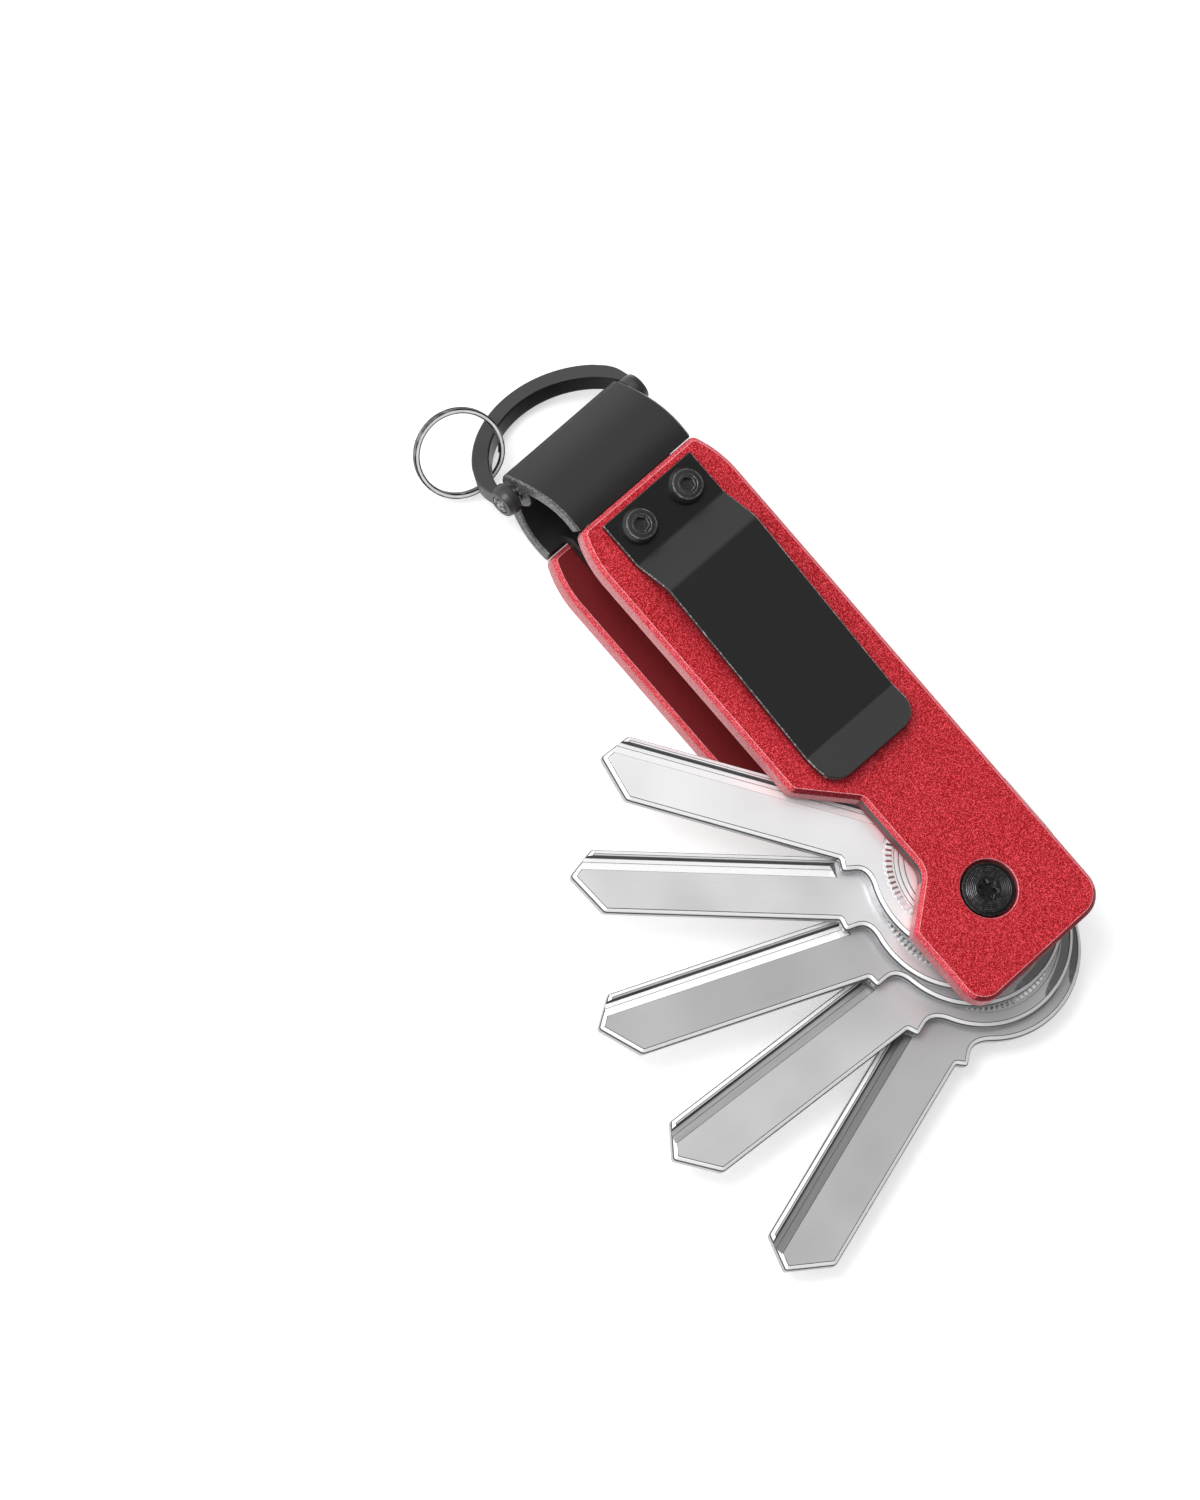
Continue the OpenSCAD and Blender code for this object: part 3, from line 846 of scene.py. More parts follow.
def button_screw(settings, x, y, z):
    head_d, top, disc_d, thread_d, socket = mm(
        settings, "head_d", "head_h", "disc_d", "thread_d", "socket")
    head, disc, thread = head_d / 2, disc_d / 2, thread_d / 2
    profile = [(0, -9.0), (thread, -9.0), (thread, 0)]
    profile += soft_profile([(thread, 0, 0), (head, 0, 0.08), (head, top * 0.55, 0.25),
                             (disc + 0.1, top - 0.12, 0)], 4)[1:]
    profile += [(disc + 0.02, top - 0.17, GLINT), (disc - 0.06, top - 0.02, GLINT),
                (disc - 0.16, top), (socket * 0.78, top, GLINT), (socket * 0.74, top - 0.04),
                (socket * 0.68, top - 0.01), (0, top - 0.01)]
    place = shift(x, y, z)
    cutter = socket_cutter(hexagon(socket), top, SOCKET_DEPTH, place @ turn(12, "Z"))
    return combine(lathe("screw", profile, place, steps=72), [cutter])


def sunk_screw(settings, x, y, z):
    thread_d, socket, head_d = mm(settings, "thread_d", "socket", "head_d")
    head, thread = head_d / 2, thread_d / 2
    profile = [(0, -8.1), (thread, -8.1), (thread, -1.3), (head - 0.06, -0.08),
               (head - 0.14, 0), (1.5, 0), (1.44, -0.04), (1.38, 0), (0, 0)]
    place = shift(x, y, z) @ turn(180, "X")
    return combine(lathe("screw", profile, place, steps=72),
                   [socket_cutter(hexagon(socket * 0.9), 0, SOCKET_DEPTH, place)])


class ORGANISER_OT_screws(bpy.types.Operator):
    """Build the clip's button-head screws and the countersunk rear screws"""

    bl_idname = "organiser.screws"
    bl_label = "Screws"

    def execute(self, context):
        settings = context.scene.organiser_screws
        # Painted highlight: the hex sockets' walls are a lighter grey than the heads
        finishes = shades(settings.black, ("Black oxide", 1, 2.5), ("Screw edge glint", 7, 20),
                          ("Socket wall highlight", 1.5, 9))
        clip_top = box_mm("pocket_clip")[0].z + context.scene.organiser_clip.thickness / MM
        back = box_mm("rear_screws")[0].z
        for screws, make, z in (("clip_screws", button_screw, clip_top),
                                ("rear_screws", sunk_screw, back)):
            _, xs, y = pair(screws)
            name = screws[:-1] + "_heads"
            finish_piece(gather(name, [make(settings, x, y, z) for x in xs]), name, "frame",
                         [screws], finishes)
        return {"FINISHED"}


class ORGANISER_OT_pivot(bpy.types.Operator):
    """Build the pivot's star-socket screw and its slotted barrel nut"""

    bl_idname = "organiser.pivot"
    bl_label = "Pivot"

    def execute(self, context):
        settings = context.scene.organiser_screws
        pivot_d, turned, mean, lobe = mm(settings, "pivot_d", "turned", "star", "lobe")
        radius = pivot_d / 2
        # The turned rings' lighter finish is a painted glint on one slope of each ring
        finishes = shades(settings.black, ("Turned black oxide", 0.6, 1.8),
                          ("Turned ring", 2.2, 9), ("Star wall shade", 0.3, 60))
        low, high = box_mm("pivot_screw")
        place = shift(PIVOT.x, PIVOT.y, high.z)
        depth, shank, under = high.z - low.z, 1.5, -1.45
        rings = groove_rings([1.75 + turned * k for k in range(6)], 0, width=0.09, depth=0.035)
        profile = [(0, -depth), (shank, -depth), (shank, under), (radius, under),
                   (radius, -0.22), (radius - 0.04, -0.14, GLINT), (radius - 0.12, -0.08),
                   (radius - 0.34, -0.02), (radius - 0.4, -0.1, GLINT), (radius - 0.46, 0)]
        screw = lathe("pivot_screw_head", profile + rings + [(0, 0)], place, steps=128)
        # The star socket's walls are painted darker than the head for the shade inside it, with bright specks as
        # painted glints
        combine(screw, [socket_cutter(star_outline(mean, lobe), 0, 1.1, place @ turn(10, "Z"))])
        finish_piece(screw, "pivot_screw_head", "frame", ["pivot_screw"],
                     finishes, sharp=16)

        low, high = box_mm("pivot_post")
        place = shift(PIVOT.x, PIVOT.y, low.z) @ turn(180, "X")
        depth, post_r, under, slot = high.z - low.z, 2.5, -1.5, 0.5
        rings = groove_rings([0.9 + turned * 2 * k for k in range(4)], 0, width=0.09, depth=0.03)
        profile = [(0, -depth), (1.52, -depth), (post_r - 0.1, -depth), (post_r, -depth + 0.1),
                   (post_r, under), (radius, under), (radius, -0.2), (radius - 0.2, 0)]
        nut = lathe("pivot_nut", profile + rings + [(0, 0)], place, steps=128)
        end = radius + 1
        slot_row = [Vector(p) for p in ((-end, -slot), (end, -slot), (end, slot), (-end, slot))]
        combine(nut, [slab("slot", slot_row, [(-0.5, 0), (0.3, 0)], place @ turn(25, "Z"))])
        finish_piece(nut, "pivot_nut", "frame", ["pivot_post"], finishes, sharp=16)
        return {"FINISHED"}


class ORGANISER_OT_inner_steel(bpy.types.Operator):
    """Build the turned spacer posts and finish the shim washers"""

    bl_idname = "organiser.inner_steel"
    bl_label = "Posts and washers"

    def execute(self, context):
        steel = shades(context.scene.organiser_rings.steel, ("Turned steel", 1, 1.3))
        low, high = box_mm("spacer_posts")
        radius, xs, y = pair("spacer_posts")
        edge, groove = 0.25, 0.12
        rows = [(0, low.z), (radius - edge, low.z), (radius, low.z + edge)]
        for z in (-0.8, 0, 0.8):
            mid = (low.z + high.z) / 2 + z
            rows += [(radius, mid - groove), (radius - 0.1, mid), (radius, mid + groove)]
        rows += [(radius, high.z - edge), (radius - edge, high.z), (0, high.z)]
        posts = [lathe("post", rows, shift(x, y), steps=64) for x in xs]
        finish_piece(gather("posts", posts), "turned_posts", "frame",
                     ["spacer_posts"], steel)
        for washer in WASHERS:
            slots = frame["nodes"][washer].data.materials
            slots.clear()
            slots.append(steel[0])
        return {"FINISHED"}


# ---- Strap bracket ----------------------------------------------------------------------------


def mirrored(points):
    """Points turned over about the X axis."""
    return [Vector((p.x, -p.y)) for p in points]


def bracket_outline(wall, barrel_r, foot):
    """The bracket's section, from the lower leg's foot round the nose to the upper leg's foot and
    back along the inside, as (distance from the pivot, height over the mid-plane)."""
    middle = Vector((PIN.y - PIVOT.y, 0))
    touch = math.radians(37.6)
    nose_at = middle + barrel_r * polar(touch)
    lean = Vector((math.sin(touch), -math.cos(touch)))
    outer = bezier(Vector((foot, 7.66)), Vector((foot + 4.6, 8.75)), nose_at - 5.4 * lean,
                   nose_at, 30)
    inner = []
    for i, p in enumerate(outer):
        way = (outer[min(i + 1, len(outer) - 1)] - outer[max(i - 1, 0)]).normalized()
        inner.append(p - wall * Vector((-way.y, way.x)))
    inner = [p for p in inner if (p - middle).length > barrel_r + 0.05]
    nose = arc(middle, barrel_r, -37.6, 37.6, 18)[1:-1]
    entry = inner[-1] - middle
    start = math.degrees(math.atan2(entry.y, entry.x)) + 2
    back = arc(middle, barrel_r, start, 360 - start, 14)
    return mirrored(outer) + nose + outer[::-1] + inner + back + mirrored(inner[::-1])


def tongue_outline(wall, foot):
    """The tongue that steps in from the upper leg's foot to pass between the plates."""
    y = (box_mm("front_plate")[0].z - box_mm("back_plate")[1].z) / 2 - 0.02
    end, step, top = foot - 8.8, foot + 1.2, 7.3
    return [Vector(p) for p in ((end, y - wall), (foot, y - wall), (step, y - 0.4), (step, top),
                                (foot, top), (foot, y), (end, y))]


class ORGANISER_OT_strap_bracket(bpy.types.Operator):
    """Build the dark strap bracket that closes the strap end"""

    bl_idname = "organiser.strap_bracket"
    bl_label = "Strap bracket"

    def execute(self, context):
        settings = context.scene.organiser_bracket
        edge, tongue_w, wall, barrel_d = mm(settings, "edge", "tongue_w", "wall", "barrel_d")
        low, high = box_mm("loop_bracket")
        foot = box_mm("front_plate")[1].y - PIVOT.y + 0.1
        place = shift(0, PIVOT.y, PIVOT.z) @ ACROSS
        piece = slab("bracket", bracket_outline(wall, barrel_d / 2, foot),
                     edge_levels(low.x, high.x, edge, 0.08), place)
        upper = tongue_outline(wall, foot)
        levels = edge_levels(-tongue_w / 2, tongue_w / 2, 0.2, 0.05)
        combine(piece, [slab("tongue", row, levels, place)
                        for row in (upper, mirrored(upper[::-1]))], "UNION")
        combine(piece, [bore(1.3, Matrix.Translation(PIN))])

        def pick(face):
            # Painted highlight: the legs' outer side faces and their chamfers get a lighter grey
            sideways = abs(face.normal.x) > 0.3
            outermost = abs(face.center.x / MM) > high.x - 0.5
            return int(sideways and outermost)

        finish_piece(piece, "strap_bracket", "frame", ["loop_bracket"],
                     shades(settings.grey, ("Satin dark coating", 1, 1.5), ("Bracket edge highlight", 5, 15)),
                     pick, sharp=24)
        return {"FINISHED"}


# ---- D-ring, pin and split ring ---------------------------------------------------------------


def bow_outline(settings):
    """The D-ring's flat bow, as (across, away from the pin), cut off flush with its eyes."""
    outer, width, half, back = mm(settings, "bow_r", "band_w", "half", "bow_back")
    inner, foot = outer - width, -0.15
    half -= 0.06
    centre = Vector((0, -back))
    from_angle = math.degrees(math.acos(half / outer))
    inner_angle = math.degrees(math.asin((back + foot) / inner))
    top = arc(centre, outer, from_angle + 12, 168 - from_angle, 60)
    side = rounded([(*top[0], 0), (half, centre.y + outer * math.sin(math.radians(from_angle)), 5),
                    (half, foot, 0)], 8, closed=False)[1:-1]
    left = [Vector((-p.x, p.y)) for p in side]
    return (side[::-1] + top + left + [Vector((-half, foot))]
            + arc(centre, inner, 180 - inner_angle, inner_angle, 60) + [Vector((half, foot))])


def eye_profile(settings):
    """Turned shape of an eye that tapers to its outer end, from inside to outside."""
    half, eye_w, eye_d, end_d = mm(settings, "half", "eye_w", "eye_d", "eye_end_d")
    inside = half - eye_w
    return soft_profile([(0, inside, 0), (eye_d / 2, inside, 0.25), (eye_d / 2, half - 0.8, 0.5),
                         (end_d / 2, half, 0.2), (0, half, 0)], 5)


class ORGANISER_OT_d_ring(bpy.types.Operator):
    """Build the D-ring and its cross pin"""

    bl_idname = "organiser.d_ring"
    bl_label = "D-ring"

    def execute(self, context):
        settings = context.scene.organiser_rings
        slid, thick, half, pin_d, bow_back = mm(
            settings, "slid", "band_t", "half", "pin_d", "bow_back")
        pin_r = pin_d / 2
        place = shift(PIN.x + slid, PIN.y, PIN.z) @ Matrix.Rotation(-settings.droop, 4, "X")
        ring = slab("ring", bow_outline(settings),
                    round_levels(-thick / 2, thick / 2, 0.5, 0.22), place)
        combine(ring, [lathe("eye", eye_profile(settings), place @ turn(side, "Y"), steps=64)
                       for side in (90, -90)], "UNION")
        combine(ring, [bore(pin_r + 0.03, place)])
        flat = place.inverted()

        def pick(face):
            # Painted shade: the bow's inner faces, past the eyes, are darker
            at = flat @ (face.center / MM)
            away = Vector((at.x, at.y + bow_back, 0)).normalized()
            inward = (flat.to_3x3() @ face.normal).dot(away) < -0.5
            past_eyes = at.y > 1.5
            return int(inward and past_eyes)

        finish_piece(ring, "d_ring_band", "d_ring", ["d_ring"],
                     shades(settings.black, ("Ring coating", 1, 1.5), ("Ring inside shade", 0.3, 1.2)),
                     pick, sharp=34)
        end = half + 0.1
        head = [(pin_r - 0.08, end - 0.14), (pin_r - 0.2, end - 0.06),
                *groove_rings([0.4, 0.75], end, width=0.1, depth=0.07), (0, end)]
        foot = [(row[0], -row[1]) for row in reversed(head)]
        pin = lathe("pin", foot + [(pin_r, 0.3 - end), (pin_r, end - 0.3)] + head,
                    place @ ALONG_X, steps=64)
        finish_piece(pin, "d_ring_pin", "d_ring", ["ring_pin"],
                     shades(settings.steel, ("Pin steel", 0.12, 1)))
        return {"FINISHED"}


def split_place():
    """Where the split ring lies: its middle from its CAD box, its axis from its mount."""
    low, high = box_mm("split_ring")
    mount = next(m for m in frame["record"]["mounts"] if m["name"] == "split_ring_loop")
    axis = Vector(mount["axis"]).normalized()
    return Matrix.Translation((low + high) / 2) @ axis.to_track_quat("Z", "Y").to_matrix().to_4x4()


def split_rings(settings):
    """Sections of the flat wire along two turns, with a jog where it crosses over."""
    wire, height, outer = mm(settings, "wire", "turn", "split_d")
    radius, edge = outer / 2 - wire / 2, 0.2
    w, h = wire / 2, height / 2
    section = rounded([(-w, -h, edge), (w, -h, edge), (w, h, edge), (-w, h, edge)], 3)
    rings = []
    for degrees in range(20, 701, 4):
        ease = min(1, max(0, (degrees - 342) / 36))
        level = (ease * ease * (3 - 2 * ease) * 2 - 1) * h
        way = math.radians(degrees) + settings.jog
        rings.append([(*polar(way, radius + p.x), level + p.y) for p in section])
    return rings


class ORGANISER_OT_split_ring(bpy.types.Operator):
    """Build the two-turn split ring of flat wire"""

    bl_idname = "organiser.split_ring"
    bl_label = "Split ring"

    def execute(self, context):
        settings = context.scene.organiser_rings
        place = split_place()
        axis = place.to_3x3() @ Vector((0, 0, 1))

        def pick(face):
            flat = abs(face.normal.dot(axis)) > 0.97
            return int(not flat)

        finishes = shades(settings.bright, ("Bright nickel", 1, 1.3), ("Nickel in shade", 0.03, 1))
        finish_piece(solid("split", *stack(split_rings(settings)), place), "split_ring_wire",
                     "split_ring", ["split_ring"], finishes, pick, sharp=50)
        return {"FINISHED"}


# ---- Keys -------------------------------------------------------------------------------------

# Key finish marks: a painted highlight, painted shade on fine lines, walls, rims and side walls, and the groove
# slope
KEY_HIGHLIGHT, KEY_SHADE, RIM_SHADE, SLOPE, SIDE_SHADE = range(1, 6)


def narrowed(rows, distance):
    """Rows of an outline moved inwards, with their corner radii made to suit."""
    at = [Vector(row[:2]) for row in rows]
    moved = []
    for i, (p, row) in enumerate(zip(inset(at, distance), rows)):
        before, after = at[i] - at[i - 1], at[(i + 1) % len(at)] - at[i]
        radius = row[2] - math.copysign(distance, before.x * after.y - before.y * after.x)
        moved.append((p.x, p.y, max(radius, 1e-6) if row[2] else 0))
    return moved


def blank_outline(half, shoulder, tip, nick, head_at, head_r, distance=0.0):
    """A key blank's outline, as (along the blade, towards the cut edge), moved inwards."""
    nape_angle = 360 - math.degrees(math.asin((half + 1.3) / head_r))
    waist = Vector((shoulder - 3.9, half + 0.2))
    peak = Vector((shoulder - 0.7, half + 1.4))
    lead = waist + (peak - waist).normalized() * 1.7
    centre = Vector((head_at, 0))
    join = math.degrees(math.atan2(waist.y, waist.x - head_at)) + 12
    onto, after, nape = (arc(centre, head_r, way, way, 1)[0]
                         for way in (join, join + 1, nape_angle - 360))
    before = centre + (nape - centre) @ Matrix.Rotation(math.radians(1), 2)
    rows = narrowed([
        (*before, 0), (*nape, 0),
        (shoulder - 1.2, nick - half, 0.4),
        (shoulder, -half, 0.4),
        (tip - 2.9, -half, 0.4),
        (tip, -0.5, 0.5),
        (tip - 4.3, half, 0.9),
        (shoulder, half, 0.3),
        (*peak, 0.5),
        (*lead, 0), (*waist.lerp(lead, 0.5), 0),
    ], distance)[1:-1]
    fillet = bezier(lead, waist.lerp(lead, 1 / 3), waist.lerp(onto, 1 / 3), onto, 12)
    fillet = inset([waist.lerp(lead, 1.5), *fillet, after], distance)[2:-2]
    head = arc(centre, head_r - distance, join, nape_angle, 110)[:-1]
    return rounded(rows, 6, closed=False) + fillet + head


def flattened(outline, way, limit, distance=0.0):
    """An outline moved inwards, with a flat where it would pass a limit along one way."""
    return [p - way * max(0, p.dot(way) + distance - limit) for p in outline(distance=distance)]


def blank_levels(thick, bevel):
    """Levels of a blank's side: a plain wall with painted shade between rounded bevels with a painted
    highlight, a fine line of painted shade where each bevel meets its face, and painted shade on the
    outer part of each rounding."""
    depths = (0, 0.05, 0.14, 0.25, 0.38, 0.5)
    insets = (bevel + 0.09, bevel, bevel * 0.55, bevel * 0.25, bevel * 0.07, 0)
    bands = (KEY_SHADE, KEY_HIGHLIGHT, KEY_HIGHLIGHT, KEY_SHADE, KEY_SHADE)
    low = [(z - thick, d, band) for z, d, band in zip(depths, insets, (*bands, SIDE_SHADE))]
    high = [(-z, d, band) for z, d, band in zip(depths, insets, (PLAIN, *bands))]
    return low + high[::-1]


def groove_cutter(half, start, tip, depth, place):
    """The milled groove beside the blade's back: a steep wall and a narrow floor with painted shade, a
    wide slope with each key's painted light and shade, and a fine line of painted shade along the
    blade's face."""
    rows = ((0.78, 0.3), (0.78, 0), (0.95, -depth), (1.12, -depth), (1.62, -0.31),
            (1.67, -0.34), (1.74, -0.28), (2.62, -0.09), (2.68, 0), (2.68, 0.3))
    bands = (KEY_SHADE, KEY_SHADE, KEY_SHADE, SLOPE, KEY_SHADE, SLOPE, SLOPE, KEY_SHADE, KEY_SHADE, KEY_SHADE)
    rings = [[(start + 0.8 * max(0, -z / depth), b - half, z) for b, z in rows],
             [(tip + 2, b - half, z) for b, z in rows]]
    return solid("groove", *stack(rings), place, (*bands, KEY_SHADE, KEY_SHADE))


def head_cutter(recess_r, head_at, place):
    """The shallow dish in a head's face, with two fine turned rings; the rings and the dish's edges
    get a painted highlight on one slope and painted shade on another.
    """
    floor, line, deep = -0.12, 0.08, -0.24
    rows = [(0, floor)]
    for radius in (7.9, 8.6):
        rows += [(radius - line, floor, KEY_SHADE), (radius, floor - line, KEY_HIGHLIGHT),
                 (radius + line, floor)]
    rows += [(9.15, floor, KEY_SHADE), (9.2, deep), (recess_r - 0.2, deep, KEY_HIGHLIGHT),
             (recess_r - 0.06, floor, KEY_SHADE), (recess_r, 0.02), (recess_r + 0.1, 0.5), (0, 0.5)]
    return lathe("dish", rows, place @ shift(head_at), steps=120)


def rim_cutter(inner, outer, head_at, place):
    """The slope round a head's rim, which fades out beside the neck; it gets the darker rim finish as painted
    shade.
    """
    start, end, step, run_out = 92, 272, 3, 32
    rings = []
    for degrees in range(start, end + 1, step):
        fade = min(1, (degrees - start) / run_out, (end - degrees) / run_out)
        lift = 0.05 * (1 - fade)
        a = math.radians(degrees)
        rings.append([(head_at + r * math.cos(a), r * math.sin(a), z + lift) for r, z in (
            (inner, 0.25), (inner, 0.01), (inner + 0.25, -0.06 * fade),
            (outer - 0.52, -0.24 * fade), (outer - 0.45, -0.08 * fade), (outer - 0.45, 0.25))])
    points, faces = stack(rings)
    return solid("rim", points, faces, place, [RIM_SHADE] * len(faces))


def tick_ring(ticks, inner, outer, head_at, place):
    """A ring of fine raised serrations, whose faces get painted highlight and painted shade in turn."""
    foot, top, edge = -0.35, -0.02, 0.15
    rows = ((inner, foot, foot), (inner + edge, top, -0.2), (outer - edge, top, -0.2),
            (outer, foot, foot))
    rings = [[(*polar(math.pi * i / ticks, radius), low if i % 2 else high)
              for i in range(ticks * 2)] for radius, high, low in rows]
    marks = [KEY_HIGHLIGHT, RIM_SHADE] * (len(rows) * ticks)
    return solid("ticks", *stack(rings, closed=True), place @ shift(head_at), marks)


def slot_outline(width, side):
    """The slot from the blade's middle to the post, as (along, towards the cut edge)."""
    low, high = Vector((0, min(0, -side))), Vector((0, max(0, -side)))
    return arc(low, width / 2, 180, 360, 16) + arc(high, width / 2, 0, 180, 16)


def key_blank(settings, index, name):
    """One key blank, in its place in the frame."""
    head_d, recess_d, to_shoulder, bevel, groove, slot_w, reach = mm(
        settings, "head_d", "recess_d", "to_shoulder", "bevel", "groove", "slot_w", "reach")
    width, side, shoulder, tip, run_in, nick = (
        getattr(settings, row)[index] / MM
        for row in ("widths", "sides", "shoulders", "tips", "run_ins", "nicks"))
    half, head_r, recess_r = width / 2, head_d / 2, recess_d / 2
    head_at = shoulder - to_shoulder
    a = settings.turns[index]
    low, high = box_mm(name)
    thick = high.z - low.z
    along = Vector((-math.sin(a), math.cos(a), 0))
    cutward = Vector((-math.cos(a), -math.sin(a), 0))
    axes = Matrix((along, cutward, Vector((0, 0, 1)))).transposed().to_4x4()
    front = shift(PIVOT.x, PIVOT.y, high.z) @ Matrix.Translation(cutward * side) @ axes
    back = front @ shift(0, 0, -thick) @ Matrix.Diagonal((1, 1, -1, 1))
    outline = partial(blank_outline, half, shoulder, tip, nick, head_at, head_r)
    right = Vector((-math.sin(a), -math.cos(a)))
    outline = partial(flattened, outline, right, reach + side * math.cos(a))
    piece = slab("blank", outline, blank_levels(thick, bevel), front)
    cutters = [slab("slot", slot_outline(slot_w, side), [(-thick - 1, 0), (1, 0)], front)]
    for face in (front, back):
        cutters += [groove_cutter(half, shoulder + run_in, tip, groove, face),
                    head_cutter(recess_r, head_at, face),
                    rim_cutter(recess_r + 0.15, head_r, head_at, face)]
    combine(piece, cutters)
    return gather("blank", [piece] + [
        tick_ring(settings.ticks, 9.35, recess_r - 0.3, head_at, face) for face in (front, back)])


def key_finishes(tone, groove_tone, lines, number):
    """A key's finishes, with rolling lines that lie along its blade."""
    nickel = (tone, tone, min(1.0, tone * 1.015))
    groove = scaled((1, 1, 1.01), groove_tone)
    # Painted highlight on the bevels and painted shade on the walls, rims and sides
    rows = (("Nickel", scaled(nickel, 0.86), scaled(nickel, 1.16)),
            ("Nickel bevel highlight", (0.93, 0.93, 0.94), (1, 1, 1)),
            ("Nickel wall shade", (0.035, 0.035, 0.037), (0.25, 0.25, 0.26)),
            ("Nickel rim shade", scaled(nickel, 0.55), nickel),
            ("Nickel slope", groove, scaled(groove, 2.2)),
            ("Nickel side shade", (0.3, 0.3, 0.31), (0.7, 0.7, 0.72)))
    return [metal(*row, lines, f" {number}") for row in rows]


class ORGANISER_OT_keys(bpy.types.Operator):
    """Build the five nickel key blanks that fan out on the pivot"""

    bl_idname = "organiser.keys"
    bl_label = "Keys"

    def execute(self, context):
        settings = context.scene.organiser_keys
        for index, name in enumerate(KEYS):
            finishes = key_finishes(settings.light_and_shade_tones[index], settings.groove_light_and_shade_tones[index],
                                    -settings.turns[index], index + 1)
            finish_piece(key_blank(settings, index, name), name + "_blank", name,
                         [name], finishes, sharp=26)
        return {"FINISHED"}


# ---- Stage ------------------------------------------------------------------------------------


def floor_material(tint):
    """A pale floor that shows as white to the eye and in reflections, and keeps a soft shadow."""
    material, tree, shader = new_material("Pale floor")
    rays = node(tree, "LightPath").outputs
    seen = maths(tree, "MAXIMUM", rays["Is Camera Ray"], rays["Is Glossy Ray"])
    feed(tree, shader, {
        "Base Color": (*tint, 1), "Roughness": 0.9, "Specular IOR Level": 0.0,
        "Emission Color": WHITE, "Emission Strength": maths(tree, "MULTIPLY", seen, 0.45)})
    return material


def soft_light(name, place, target, size, power):
    data = bpy.data.lights.new(name, "AREA")
    data.shape = "DISK"
    data.size = size
    data.energy = power
    lamp = bpy.data.objects.new(name, data)
    lamp.location = place
    lamp.rotation_euler = (target - place).to_track_quat("-Z", "Y").to_euler()
    bpy.context.scene.collection.objects.link(lamp)


def studio_world(brightest, darkest, toward):
    """A soft white room that is brighter on one side."""
    world = bpy.data.worlds.new("Studio")
    world.use_nodes = True
    tree = world.node_tree
    way = node(tree, "TexCoord").outputs["Generated"]
    facing = node(tree, "VectorMath", {0: way, 1: toward}, operation="DOT_PRODUCT")
    fall = node(tree, "MapRange", {
        "Value": facing.outputs["Value"], "From Min": 0.35, "From Max": 0.7,
        "To Min": darkest, "To Max": brightest}, interpolation_type="SMOOTHSTEP")
    feed(tree, tree.nodes["Background"], {"Color": WHITE, "Strength": fall.outputs["Result"]})
    return world


def view_camera(settings):
    """A camera so far away that the view is almost parallel, aimed beside the pivot."""
    tilt, roll = settings.tilt, settings.roll
    aim = Vector((PIVOT.x * MM - settings.aim_x, PIVOT.y * MM + settings.aim_y,
                  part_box("front_plate")[1].z))
    toward = Vector((-math.sin(tilt), 0, math.cos(tilt)))
    across, along = Vector((math.cos(tilt), 0, math.sin(tilt))), Vector((0, 1, 0))
    right = math.cos(roll) * across - math.sin(roll) * along
    up = math.sin(roll) * across + math.cos(roll) * along
    lens = bpy.data.cameras.new("Camera")
    lens.sensor_fit = "VERTICAL"
    lens.sensor_height = 36
    lens.lens = lens.sensor_height * settings.distance / settings.view_height
    lens.clip_end = 20
    camera = bpy.data.objects.new("Camera", lens)
    facing = Matrix((right, up, toward)).transposed().to_4x4()
    camera.matrix_world = Matrix.Translation(aim + toward * settings.distance) @ facing
    bpy.context.scene.collection.objects.link(camera)
    return camera


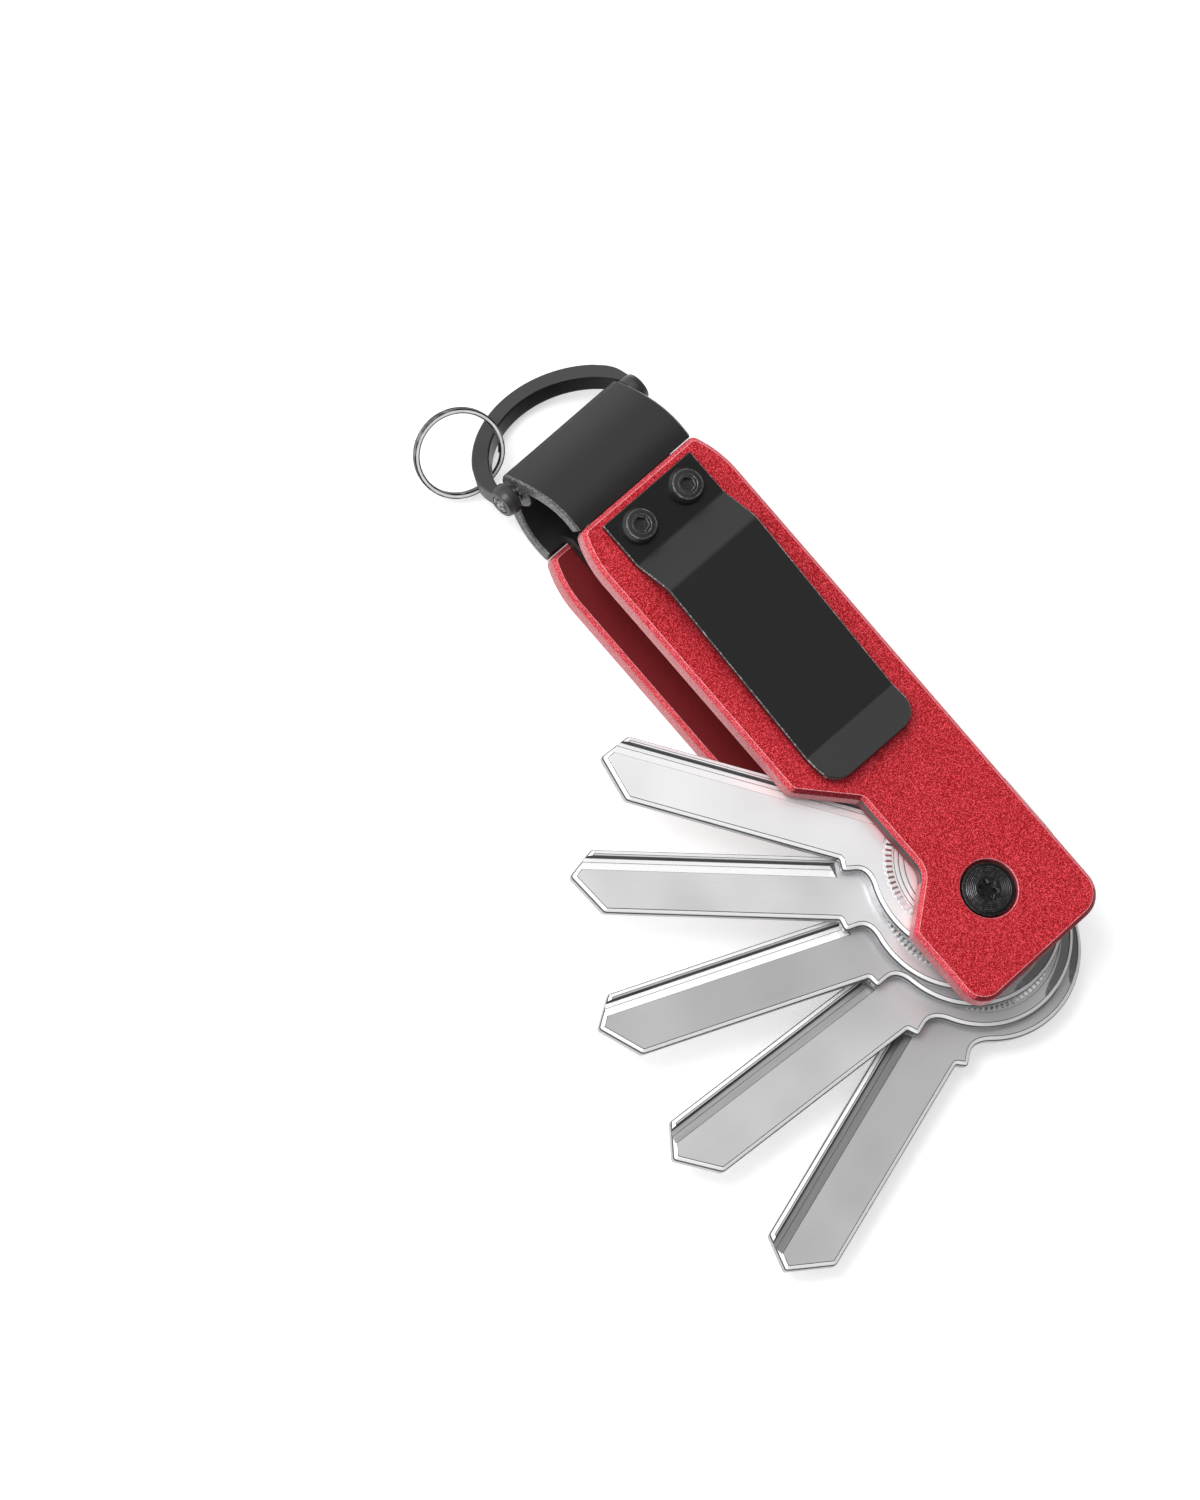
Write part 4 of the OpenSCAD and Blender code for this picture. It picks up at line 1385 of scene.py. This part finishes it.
class ORGANISER_OT_stage(bpy.types.Operator):
    """Set up the pale floor, the soft studio light and the camera"""

    bl_idname = "organiser.stage"
    bl_label = "Stage"

    def execute(self, context):
        scene, settings = context.scene, context.scene.organiser_stage
        scene.camera = view_camera(settings)
        # A hair below the organiser, so that the two share no plane
        bpy.ops.mesh.primitive_plane_add(size=6, location=(0, 0, -0.00002))
        floor = context.object
        floor.name = "floor"
        floor.data.materials.append(floor_material(settings.floor))
        soft_light("Key light", Vector((-0.35, 0.45, 1.0)), Vector((-0.02, 0, 0)), size=0.5,
                   power=6.0)
        scene.world = studio_world(brightest=1.4, darkest=0.22, toward=(-0.45, 0.62, 0.64))
        scene.view_settings.view_transform = "Standard"
        return {"FINISHED"}


# ---- Panel and registration -------------------------------------------------------------------

PIECES = [ORGANISER_OT_side_plates, ORGANISER_OT_pocket_clip, ORGANISER_OT_screws,
          ORGANISER_OT_pivot, ORGANISER_OT_inner_steel, ORGANISER_OT_strap_bracket,
          ORGANISER_OT_d_ring, ORGANISER_OT_split_ring, ORGANISER_OT_keys]


class ORGANISER_PT_panel(bpy.types.Panel):
    """Lists the organiser's pieces in the sidebar"""

    bl_idname = "ORGANISER_PT_panel"
    bl_label = "Key Organiser"
    bl_space_type = "VIEW_3D"
    bl_region_type = "UI"
    bl_category = "Key Organiser"

    def draw(self, context):
        for operator in (*PIECES, ORGANISER_OT_stage):
            self.layout.operator(operator.bl_idname)


SETTINGS = {
    "organiser_plates": PlateSettings,
    "organiser_clip": ClipSettings,
    "organiser_screws": ScrewSettings,
    "organiser_bracket": BracketSettings,
    "organiser_rings": RingSettings,
    "organiser_keys": KeySettings,
    "organiser_stage": StageSettings,
}


def register():
    for group in SETTINGS.values():
        bpy.utils.register_class(group)
    for name, group in SETTINGS.items():
        setattr(bpy.types.Scene, name, PointerProperty(type=group))
    for operator in (*PIECES, ORGANISER_OT_stage, ORGANISER_PT_panel):
        bpy.utils.register_class(operator)


def unregister():
    for operator in (ORGANISER_PT_panel, ORGANISER_OT_stage, *reversed(PIECES)):
        bpy.utils.unregister_class(operator)
    for name, group in SETTINGS.items():
        delattr(bpy.types.Scene, name)
        bpy.utils.unregister_class(group)


def main():
    register()
    bpy.ops.organiser.stage()
    for operator in PIECES:
        group, name = operator.bl_idname.split(".")
        getattr(getattr(bpy.ops, group), name)()


if __name__ == "__main__":
    main()
